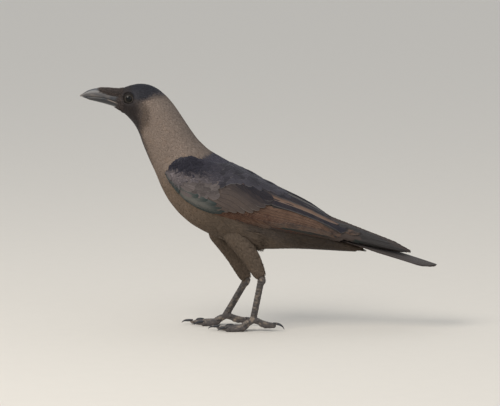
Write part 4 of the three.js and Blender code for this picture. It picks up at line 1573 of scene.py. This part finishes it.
def rim(name, side, sign, head_tree):
    """A soft ring that drapes over the eyeball and runs out under the first feathers."""
    inner, outer, thick, finish = RIMS[name]
    centre, radius = eyeball(side)
    rings, steps = 64, 9
    turn = 2 * np.pi * np.arange(rings) / rings
    way = np.stack([np.cos(turn), np.sin(turn)], -1)[:, None, :]
    share = np.linspace(0, 1, steps)[None, :, None]
    flat = way * (np.array(inner) + share * (np.array(outer) - np.array(inner))) * MM
    ball = np.sqrt(np.maximum(radius**2 - (flat**2).sum(-1), 0)) + centre[1] * sign
    hide = np.zeros_like(ball)
    for k, j in np.ndindex(hide.shape):
        start = Vector((centre[0] + flat[k, j, 0], sign * 0.03, centre[2] + flat[k, j, 1]))
        hide[k, j] = sign * head_tree.ray_cast(start, Vector((0, -sign, 0)), 0.03)[0][1]
    out = np.maximum(ball, hide - 0.0012)
    out[:, 1:-1] = (out[:, :-2] + 2 * out[:, 1:-1] + out[:, 2:]) / 4
    out = np.maximum(out, ball) + 0.0001
    out[:, -1] -= 0.0005
    brow = 1 + 0.8 * smoothstep(np.sin(turn), 0.1, 0.9)
    swell = thick * MM * brow[:, None] * np.sin(np.pi * share[..., 0]) ** 0.5
    top, under = out + swell, out - 0.0004
    both = np.concatenate([top, under[:, ::-1]], 1)
    flats = np.concatenate([flat, flat[:, ::-1]], 1)
    places = [centre[0] + flats[..., 0], sign * both, centre[2] + flats[..., 1]]
    corners = np.stack(places, -1).reshape(-1, 3)
    loops, face_sizes = tube_faces(rings + 1, 2 * steps, closed_ends=False)
    material = finish_once(finish, lid_finish if finish == "lid" else skin_finish)
    piece = mesh_object(f"{name}_{side}", corners, loops % len(corners), face_sizes, [material])
    facing_out(piece)
    vertex_values(piece, "tint", np.tile(np.array(colours().face) * 0.45, (len(corners), 1)))
    settle(piece, "plumage_black")


# ---------- what Geometry Nodes grow ----------
class Growth(Laying):
    """A tree of Geometry Nodes while it is being laid, and then used once on a piece.

    inputs gives each named input's kind and the value that this use of the tree gives it.
    """

    def __init__(self, name, inputs):
        self.tree = bpy.data.node_groups.new(name, "GeometryNodeTree")
        self.values = {}
        for key, (kind, value) in {"Geometry": ("Geometry", None), **inputs}.items():
            self.values[self.socket(key, "INPUT", kind)] = value
        self.socket("Geometry", "OUTPUT", "Geometry")
        self.inside = self.tree.nodes.new("NodeGroupInput")

    def socket(self, name, way, kind):
        kind = f"NodeSocket{kind}"
        return self.tree.interface.new_socket(name, in_out=way, socket_type=kind).identifier

    def named(self, name):
        return self.inside.outputs[name]

    def end(self, material, values):
        """Copies a shape onto points, as one mesh of one material."""
        spread = self.node("GeometryNodeInstanceOnPoints", values=values)
        real = self.node("GeometryNodeRealizeInstances", values={0: spread})
        dressed = self.node("GeometryNodeSetMaterial", values={0: real, 2: material})
        add_node(self.tree, "NodeGroupOutput", values={0: dressed})

    def grow(self, name, carrier):
        """The plain mesh that the tree makes of a carrier, which is thrown away."""
        modifier = carrier.modifiers.new("growth", "NODES")
        modifier.node_group = self.tree
        for identifier, value in self.values.items():
            if value is not None:
                modifier[identifier] = value
        mesh = evaluated_mesh(carrier, name)
        data = carrier.data
        bpy.data.objects.remove(carrier)
        (bpy.data.meshes if isinstance(data, bpy.types.Mesh) else bpy.data.curves).remove(data)
        piece = bpy.data.objects.new(name, mesh)
        bpy.context.scene.collection.objects.link(piece)
        mesh.polygons.foreach_set("use_smooth", np.ones(len(mesh.polygons), bool))
        return piece


def set_aside(piece):
    """Takes a shape that is only copied out of the scene."""
    bpy.context.scene.collection.objects.unlink(piece)
    return piece


def bristle_shape(length, radius):
    """One bristle along +X: a closed three-sided taper that bows a little."""
    share = np.array([0.0, 0.35, 0.7, 1.0])[:, None]
    turn = 2 * np.pi * np.arange(3) / 3
    thick = radius * np.array([0.9, 1.0, 0.7, 0.12])[:, None]
    bow = length * 0.07 * np.sin(np.pi * share)
    parts = [length * share + 0 * turn, thick * np.cos(turn), bow + thick * np.sin(turn)]
    return set_aside(tube("bristle", np.stack(parts, -1)))


def bristle_finish(f):
    """Stiff hair, brownish black with a dull shine."""
    place = f.place()
    grain = f.speckle(place, 420, 3.0)
    base = np.array(colours().face)
    tint = f.mixed(grain, tuple(base * 1.8), tuple(base * 4.4))
    return f.done(tint, 0.5 + 0.2 * grain)


def grow_bristles(name, bed_solids, density, length, lean, rear):
    """Bristles over a bed, all leaning one way, on as much of it as lies ahead of rear."""
    bed = closed_shell(name, bed_solids, 0.0006, 3)
    growth = Growth(name, {
        "Bristle": ("Object", bristle_shape(length, 0.00012)),
        "Density": ("Float", density),
        "Lean": ("Vector", lean),
        "Chin lean": ("Vector", (-1.0, 0.0, 0.34)),
        "Stand": ("Float", 0.07),
        "Rear": ("Float", rear),
        "Seed": ("Int", sizes().seed),
    })
    named = growth.named
    x, across, height = growth.parts(growth.node("GeometryNodeInputPosition"))
    ahead = growth.sum("LESS_THAN", x, named("Rear"))
    to_chin = growth.node("ShaderNodeMapRange", values={0: height, 1: 0.231, 2: 0.219})
    lean = growth.node(
        "ShaderNodeMix", {"data_type": "VECTOR"},
        {0: to_chin, 4: named("Lean"), 5: named("Chin lean")}, out=1,
    )
    shorter = growth.node("ShaderNodeMapRange", values={0: to_chin, 3: 1.0, 4: 0.55})
    ends = {"Mesh": named("Geometry"), "Selection": ahead, "Density": named("Density"),
            "Seed": named("Seed")}
    points = growth.node("GeometryNodeDistributePointsOnFaces", values=ends, out="Points")
    normal = points.socket.node.outputs["Normal"]
    stand = growth.vectors("SCALE", normal, named("Stand"), "Scale")
    stray = growth.node(
        "FunctionNodeRandomValue", {"data_type": "FLOAT_VECTOR"},
        {0: (-0.07, -0.07, -0.07), 1: (0.07, 0.07, 0.07), "Seed": named("Seed")},
    )
    way = growth.vectors("ADD", stand, stray)
    inward = growth.joined(None, across * -30.0, None)
    way = growth.vectors("ADD", growth.vectors("ADD", way, inward), lean)
    turned = growth.node("FunctionNodeAlignRotationToVector", {"axis": "X"}, {"Vector": way})
    sized = growth.node(
        "FunctionNodeRandomValue", {"data_type": "FLOAT"},
        {2: 0.6, 3: 1.1, "Seed": named("Seed")}, out=1,
    )
    source = growth.node("GeometryNodeObjectInfo", values={0: named("Bristle")}, out=4)
    values = {"Points": points, "Instance": source, "Rotation": turned, "Scale": sized * shorter}
    growth.end(finish_once("bristle", bristle_finish), values)
    shrink(bed, 0.0005)
    return growth.grow(name, bed)


def shrink(piece, depth):
    """Moves a piece's whole face inwards."""
    vertices = piece.data.vertices
    place_corners(piece.data, rows_of(vertices, "co") - depth * rows_of(vertices, "normal"))
    piece.data.update()


# ---------- legs and claws ----------
def cross_sections(node, start, end, count):
    """Middle, half depth and half breadth of a solid at even steps along a line.

    The line lies in an upright plane. Depth is measured in that plane, breadth square to it.
    """
    corners, faces, _ = node_arrays([node])
    heading = unit(end - start)
    breadth = unit(np.cross(heading, UP if abs(heading[2]) < 0.9 else [1.0, 0.0, 0.0]))
    depth = np.cross(breadth, heading)
    rows = []
    for share in np.linspace(0, 1, count):
        middle = start + share * (end - start)
        off = (corners - middle) @ heading
        cuts = []
        for a, b in ((0, 1), (1, 2), (2, 0)):
            one, two = faces[:, a], faces[:, b]
            crossing = (off[one] > 0) != (off[two] > 0)
            one, two = one[crossing], two[crossing]
            t = (off[one] / (off[one] - off[two]))[:, None]
            cuts.append(corners[one] + t * (corners[two] - corners[one]))
        cut = np.vstack(cuts) - middle
        across, along = cut @ breadth, cut @ depth
        if len(cut) == 0:
            continue
        low_a, high_a = across.min(), across.max()
        low_d, high_d = along.min(), along.max()
        centre = middle + breadth * (low_a + high_a) / 2 + depth * (low_d + high_d) / 2
        rows.append((centre, (high_d - low_d) / 2, (high_a - low_a) / 2))
    centres, depths, breadths = zip(*rows)
    return np.array(centres), np.array(depths), np.array(breadths), depth, breadth


def furthest_ends(node):
    """The two ends of a long solid: its corners furthest apart."""
    corners, _, _ = node_arrays([node])
    one = corners[np.argmax(np.linalg.norm(corners - corners.mean(0), axis=1))]
    two = corners[np.argmax(np.linalg.norm(corners - one, axis=1))]
    return one, two


def claw_finish(f):
    """Blackish claw horn, dusty in patches."""
    place = f.place()
    cloud = f.speckle(place, 480, 3.0)
    dust = f.rise(cloud, 0.5, 0.8) * 0.4
    tint = f.mixed(dust, tuple(0.7 * c for c in colours().horn), colours().dust)
    return f.done(tint, 0.38 + 0.25 * cloud, f.relief(cloud, 0.0003, 0.4))


def build_claws():
    """Each claw a curved, pointed horn in the place of its solid."""
    for side in SIDES:
        for digit in DIGITS:
            node = f"claw_{side}_{digit}"
            root, tip = furthest_ends(node)
            middle = box_of(f"toe_{side}_{digit}").sum(0) / 2
            if np.linalg.norm(root - middle) > np.linalg.norm(tip - middle):
                root, tip = tip, root
            centres, depths, breadths, depth, breadth = cross_sections(
                node, root, tip - 0.1 * (tip - root), 17
            )
            depths = evened_row(depths) * 0.85
            breadths = evened_row(breadths) * 0.85
            centres = np.stack([evened_row(centres[:, k]) for k in range(3)], -1)
            ring = 12
            turn = 2 * np.pi * np.arange(ring) / ring
            point = np.linspace(0, 1, len(centres)) ** 6 * 0.7
            corners = (
                centres[:, None, :]
                + depth * ((depths * (1 - point))[:, None] * np.sin(turn))[..., None]
                + breadth * ((breadths * (1 - point))[:, None] * np.cos(turn))[..., None]
            )
            corners[..., 2] = np.maximum(corners[..., 2], LOWEST_CLAW)
            piece = tube(f"nail_{side}_{digit}", corners, finish_once("claw", claw_finish))
            settle(piece, "claw_horn", node)


def evened_row(values):
    """A row of values with its inner ones softened three times."""
    values = np.array(values, float)
    for _ in range(3):
        values[1:-1] = values[1:-1] / 2 + (values[:-2] + values[2:]) / 4
    return values


def scute_shape(half_turn, thick, overlap):
    """One scale: a bent plate round +X of radius 1 and height 1, its +Z edge standing out."""
    count = 6
    turn = np.linspace(-half_turn, half_turn, count)[:, None]
    edge = 1 - np.abs(turn / half_turn) ** 4
    height = np.array([-0.5, -0.15, 0.5 + overlap])
    outer = 1.08 + edge * np.array([0.0, 0.04, 0.06])
    radius = np.concatenate([outer, np.full((count, 3), 1 - thick)], 1)
    height = np.concatenate([height, height[::-1]])
    corners = [radius * np.cos(turn), radius * np.sin(turn), radius * 0 + height]
    return set_aside(tube("scute", np.stack(corners, -1)))


def scale_finish(f):
    """Dry dark scales with dust in patches."""
    place = f.place()
    grain = f.speckle(place, 1400, 3.0)
    cloud = f.speckle(place, 230, 3.0)
    dust = f.rise(cloud + 0.25 * grain, 0.55, 0.85)
    tint = f.mixed(grain, tuple(0.62 * c for c in colours().leg), colours().leg)
    tint = f.mixed(dust * 0.4, tint, colours().dust)
    return f.done(tint, 0.58 + 0.2 * grain, f.relief(grain, 0.0002, 0.5))


def grow_scutes(name, line, radii, front, pitch, squash, shape):
    """Scales one behind another along a line, facing front, as wide as the radii say."""
    path = bpy.data.curves.new(name, "CURVE")
    path.dimensions = "3D"
    spline = path.splines.new("POLY")
    spline.points.add(len(line) - 1)
    for point, place, radius in zip(spline.points, line, radii):
        point.co = (*place, 1.0)
        point.radius = float(radius)
    carrier = bpy.data.objects.new(name, path)
    bpy.context.scene.collection.objects.link(carrier)
    growth = Growth(name, {
        "Scale shape": ("Object", shape),
        "Pitch": ("Float", pitch),
        "Front": ("Vector", tuple(front)),
        "Breadth": ("Float", squash),
    })
    named = growth.named
    even = growth.node(
        "GeometryNodeResampleCurve", {"mode": "LENGTH"},
        {"Curve": named("Geometry"), "Length": named("Pitch")},
    )
    tangent = growth.node("GeometryNodeInputTangent")
    upright = growth.node("FunctionNodeAlignRotationToVector", {"axis": "Z"}, {"Vector": tangent})
    turned = growth.node(
        "FunctionNodeAlignRotationToVector", {"axis": "X", "pivot_axis": "Z"},
        {"Rotation": upright, "Vector": named("Front")},
    )
    radius = growth.node("GeometryNodeInputRadius")
    scale = growth.joined(radius, growth.sum("MULTIPLY", radius, named("Breadth")), named("Pitch"))
    source = growth.node("GeometryNodeObjectInfo", values={0: named("Scale shape")}, out=4)
    values = {"Points": even, "Instance": source, "Rotation": turned, "Scale": scale}
    growth.end(finish_once("scale", scale_finish), values)
    return growth.grow(name, carrier)


def joined(name, pieces):
    """Pieces made one mesh."""
    with bpy.context.temp_override(
        active_object=pieces[0], selected_editable_objects=pieces, selected_objects=pieces
    ):
        bpy.ops.object.join()
    pieces[0].name = name
    return pieces[0]


def scale_row(name, node, ends, count, facing, pitch, shape):
    """The row of scales along one solid, from a share of its length in from either end."""
    one, two = upper_and_lower(node)
    run = two - one
    centres, depths, breadths, depth, _ = cross_sections(
        node, one + ends[0] * run, two - ends[1] * run, count
    )
    front = depth * (1 if depth @ facing > 0 else -1)
    broad = float(np.mean(breadths / depths))
    return grow_scutes(name, centres, evened_row(depths), front, pitch, broad, shape)


def build_scutes():
    """The row of plates down the front of each shank, and over the top of each toe."""
    plates = scute_shape(1.9, 0.16, 0.12), scute_shape(1.45, 0.16, 0.10)
    for side in SIDES:
        rows = [(f"tarsus_{side}", (0.06, 0.05), 16, (-1.0, 0.0, 0.0), 0.0031, plates[0])]
        for digit in DIGITS:
            rows.append((f"toe_{side}_{digit}", (0.16, 0.03), 18, UP, 0.0021, plates[1]))
        pieces = [scale_row(f"{row[0]}_scales", *row) for row in rows]
        settle(joined(f"scales_{side}", pieces), "leg_skin")


# ---------- the sheets that feathers lie on, measured once ----------
@cache
def sheet(name):
    """The chart or search tree of a name."""
    coverts = ["wing_left_coverts", "wing_right_coverts"]
    makers = {
        "flesh": lambda: outline_tree(FLESH, 0.0011, 4),
        "thighs": lambda: outline_tree(["thigh_left", "thigh_right"], 0.001, 3),
        "dressed": lambda: outline_tree(FLESH + coverts, 0.0011, 4),
        "body": lambda: body_chart(sheet("flesh"), sheet("dressed")),
        "wing_left": lambda: wing_chart("left", -1),
        "wing_right": lambda: wing_chart("right", 1),
        "tail": tail_chart,
        "leg_left": lambda: outline_tree([*FLESH, "thigh_left"], 0.0011, 4),
        "leg_right": lambda: outline_tree([*FLESH, "thigh_right"], 0.0011, 4),
        "thigh_left": lambda: limb_chart("left"),
        "thigh_right": lambda: limb_chart("right"),
        "roots": lambda: body_roots(sheet("body")),
    }
    return makers[name]()


def part_of_coat(name, first, last, on_back):
    """Lays the small feathers whose roots stand between two places of the spine."""
    roots = sheet("roots")
    at = roots["u"] * (len(SPINE) - 1)
    keep = (at >= first) & (at < last)
    keep &= (np.minimum(roots["v"], 1 - roots["v"]) < 0.25) == on_back
    piece = lay_down(name, sheet("body"), chosen(roots, keep))
    grey = name.startswith(("neck", "nape", "breast"))
    return settle(piece, "plumage_grey" if grey else "plumage_black")


def lining(name, solids, depth, slot, colour="quill"):
    """Soft dark underfeathers that close a wing or tail from within."""
    shell = closed_shell(name, solids, 0.0009, 3)
    tree, places = mesh_tree(shell)
    normals = rows_of(shell.data.vertices, "normal")
    depths = sunken(tree, places, normals, np.full(len(places), depth), 0.47, 0.01)
    depths = evened(depths, rows_of(shell.data.edges, "vertices", 2, int), 4)
    places = places - normals * depths[:, None]
    kept = {
        "tint": np.tile(np.array(getattr(colours(), colour)) * 0.7, (len(places), 1)),
        "vane": np.stack([places[:, 0] * 60, places[:, 1] * 90, depths * 0], -1),
        "trim": places * 0,
    }
    finish_shell(shell, places, kept, finish_once("down", down_finish))
    settle(shell, slot)


def build_wing(side):
    """All firm feathers of one wing, from the primaries up to the lesser coverts."""
    chart = sheet(f"wing_{side}")
    maker = np.random.default_rng(sizes().seed + (3 if side == "left" else 4))
    rows = {row[0]: wing_row(row, maker) for row in WING_ROWS}
    fields = {field[0]: covert_field(chart, field, maker) for field in COVERT_FIELDS}
    groups = {
        "flight": rows["primary"] + rows["secondary"],
        "tertials": rows["tertial"],
        "great_coverts": rows["greater"] + rows["wrist"],
        "small_coverts": fields["median"],
        "scapulars": fields["scapular"],
    }
    for name, plumes in groups.items():
        piece = lay_plumes(f"{name}_{side}", chart, wing_share, plumes)
        replaced = (f"wing_{side}_secondaries", f"wing_{side}_primaries")
        settle(piece, "wing_feathers", *(replaced if name == "flight" else ()))
    shoulder = lay_down(f"shoulder_feathers_{side}", chart, shoulder_roots(chart, maker))
    settle(shoulder, "plumage_black")
    # The lining takes the worn coverts' brown, a painted light that lifts the shade in the gaps along
    # the wing's lower edge.
    lining(f"wing_lining_{side}", list(replaced), 0.0034, "wing_feathers", "worn")


# ---------- stage ----------
FLOOR_HALF = 20.0
CAMERA_AIM = (-0.009, 0.0, 0.1265)
SENSOR_MM = 36


def floor_finish(f):
    """A plain pale matt floor."""
    place = f.place()
    grain = f.speckle(place, 60, 3.0)
    tint = f.mixed(grain * 0.12, bpy.context.scene.crow_stage.floor, (0.5, 0.47, 0.43))
    return f.done(tint, 0.9)


def build_stage():
    """The floor, the sky, two lamps and the camera."""
    stage = bpy.context.scene.crow_stage
    scene = bpy.context.scene
    mesh = bpy.data.meshes.new("floor")
    corners = [(x * FLOOR_HALF, y * FLOOR_HALF, 0) for x, y in ((-1, -1), (1, -1), (1, 1), (-1, 1))]
    mesh.from_pydata(corners, [], [(0, 1, 2, 3)])
    floor = bpy.data.objects.new("floor", mesh)
    scene.collection.objects.link(floor)
    mesh.materials.append(finish_once("floor", floor_finish))

    world = bpy.data.worlds.new("sky")
    scene.world = world
    world.use_nodes = True
    ground = world.node_tree.nodes["Background"]
    ground.inputs["Color"].default_value = (0.93, 0.96, 1.0, 1.0)
    ground.inputs["Strength"].default_value = stage.sky

    def lamp(name, place, size, power, tint):
        data = bpy.data.lights.new(name, "AREA")
        data.shape = "DISK"
        data.size = size
        data.energy = power
        data.color = tint
        piece = bpy.data.objects.new(name, data)
        piece.location = place
        aim = Vector((0, 0, 0.1)) - Vector(place)
        piece.rotation_euler = aim.to_track_quat("-Z", "Y").to_euler()
        scene.collection.objects.link(piece)

    lamp("key", (-1.0, -1.15, 1.75), 1.3, stage.key, (1.0, 0.955, 0.89))
    lamp("fill", (1.2, -1.6, 0.8), 1.6, stage.key * 0.16, (0.9, 0.95, 1.0))

    aim = Vector(CAMERA_AIM)
    data = bpy.data.cameras.new("camera")
    data.sensor_width = SENSOR_MM
    data.lens = SENSOR_MM * stage.distance / stage.view
    data.clip_end = 50
    camera = bpy.data.objects.new("camera", data)
    back = Vector((0, -math.cos(stage.rise), math.sin(stage.rise)))
    camera.location = aim + back * stage.distance
    camera.rotation_euler = (-back).to_track_quat("-Z", "Y").to_euler()
    scene.collection.objects.link(camera)
    scene.camera = camera
    scene.view_settings.view_transform = "Standard"
    scene.view_settings.look = "None"


# ---------- operators ----------
class CrowOperator:
    """What every step of the build shares."""

    bl_options = {"REGISTER", "UNDO"}

    def execute(self, context):
        self.build()
        return {"FINISHED"}


class CROW_OT_stage(CrowOperator, bpy.types.Operator):
    """Floor, light and camera"""

    bl_idname = "crow.stage"
    bl_label = "Stage"

    def build(self):
        build_stage()


class CROW_OT_skin(CrowOperator, bpy.types.Operator):
    """One skin for head, neck, trunk, wings, legs and toes"""

    bl_idname = "crow.skin"
    bl_label = "Skin"

    def build(self):
        build_skin()


class CROW_OT_bill(CrowOperator, bpy.types.Operator):
    """Both halves of the bill"""

    bl_idname = "crow.bill"
    bl_label = "Bill"

    def build(self):
        build_bill()


class CROW_OT_eyes(CrowOperator, bpy.types.Operator):
    """Eyeballs and their lids"""

    bl_idname = "crow.eyes"
    bl_label = "Eyes"

    def build(self):
        for side, sign in SIDES.items():
            build_eye(side, sign)
            for name in RIMS:
                rim(name, side, sign, sheet("flesh"))


class CROW_OT_bristles(CrowOperator, bpy.types.Operator):
    """Bristles over the root of the bill"""

    bl_idname = "crow.bristles"
    bl_label = "Bristles"

    def build(self):
        bed = ["nasal_bristles", "head"]
        piece = grow_bristles("bristles", bed, 3.4e6, 0.0055, (-1.0, 0.0, -0.12), -0.1335)
        settle(piece, "plumage_black", "nasal_bristles")
        lining("bristle_bed", ["nasal_bristles"], 0.0006, "plumage_black")


# Which stretch of SPINE each piece of the coat is grown on, and whether on the back.
COAT = {
    "face_feathers": (0, 3.6, False), "crown_feathers": (0, 3.6, True),
    "neck_feathers": (3.6, 6.0, False), "nape_feathers": (3.6, 6.0, True),
    "breast_feathers": (6.0, 9.0, False), "back_feathers": (6.0, 11.1, True),
    "vent_feathers": (9.0, 11.1, False),
}


class CROW_OT_coat(CrowOperator, bpy.types.Operator):
    """Small feathers of head, neck and body"""

    bl_idname = "crow.coat"
    bl_label = "Coat"

    def build(self):
        for name, stretch in COAT.items():
            part_of_coat(name, *stretch)


class CROW_OT_thighs(CrowOperator, bpy.types.Operator):
    """Feathers of both thighs"""

    bl_idname = "crow.thighs"
    bl_label = "Thigh feathers"

    def build(self):
        for away, side in enumerate(SIDES):
            chart = sheet(f"thigh_{side}")
            roots = thigh_roots(chart, side, away)
            settle(lay_down(f"thigh_feathers_{side}", chart, roots), "plumage_brown")


class CROW_OT_wings(CrowOperator, bpy.types.Operator):
    """Flight feathers, coverts and scapulars of both wings"""

    bl_idname = "crow.wings"
    bl_label = "Wings"

    def build(self):
        for side in SIDES:
            build_wing(side)


class CROW_OT_tail(CrowOperator, bpy.types.Operator):
    """Six pairs of tail feathers"""

    bl_idname = "crow.tail"
    bl_label = "Tail"

    def build(self):
        piece = lay_plumes("tail_feathers", sheet("tail"), tail_share, tail_plumes())
        settle(piece, "wing_feathers", "tail")
        # The lining takes the worn coverts' brown, a painted light that lifts the shade in the gap
        # under the wing tips.
        lining("tail_lining", ["tail"], 0.0018, "wing_feathers", "worn")


class CROW_OT_scutes(CrowOperator, bpy.types.Operator):
    """Scales of shanks and toes"""

    bl_idname = "crow.scutes"
    bl_label = "Scales"

    def build(self):
        build_scutes()


class CROW_OT_claws(CrowOperator, bpy.types.Operator):
    """The eight claws"""

    bl_idname = "crow.claws"
    bl_label = "Claws"

    def build(self):
        build_claws()


STEPS = [
    CROW_OT_stage, CROW_OT_skin, CROW_OT_bill, CROW_OT_eyes, CROW_OT_bristles,
    CROW_OT_coat, CROW_OT_thighs, CROW_OT_wings, CROW_OT_tail, CROW_OT_scutes, CROW_OT_claws,
]


class CROW_PT_panel(bpy.types.Panel):
    """Lists the crow's pieces, with its colours and sizes"""

    bl_label = "Crow"
    bl_idname = "CROW_PT_panel"
    bl_space_type = "VIEW_3D"
    bl_region_type = "UI"
    bl_category = "Crow"

    def draw(self, context):
        layout = self.layout
        for step in STEPS:
            layout.operator(step.bl_idname)
        for group in (context.scene.crow_sizes, context.scene.crow_colours, context.scene.crow_stage):
            box = layout.box()
            for key in group.__annotations__:
                box.prop(group, key)


GROUPS = {"crow_colours": CrowColours, "crow_sizes": CrowSizes, "crow_stage": CrowStage}


def register():
    for kind in (*GROUPS.values(), *STEPS, CROW_PT_panel):
        bpy.utils.register_class(kind)
    for name, kind in GROUPS.items():
        setattr(bpy.types.Scene, name, bpy.props.PointerProperty(type=kind))


def unregister():
    for name in GROUPS:
        delattr(bpy.types.Scene, name)
    for kind in reversed((*GROUPS.values(), *STEPS, CROW_PT_panel)):
        bpy.utils.unregister_class(kind)


def main():
    """Runs every step in order."""
    register()
    for step in STEPS:
        group, name = step.bl_idname.split(".")
        getattr(getattr(bpy.ops, group), name)()


if __name__ == "__main__":
    main()
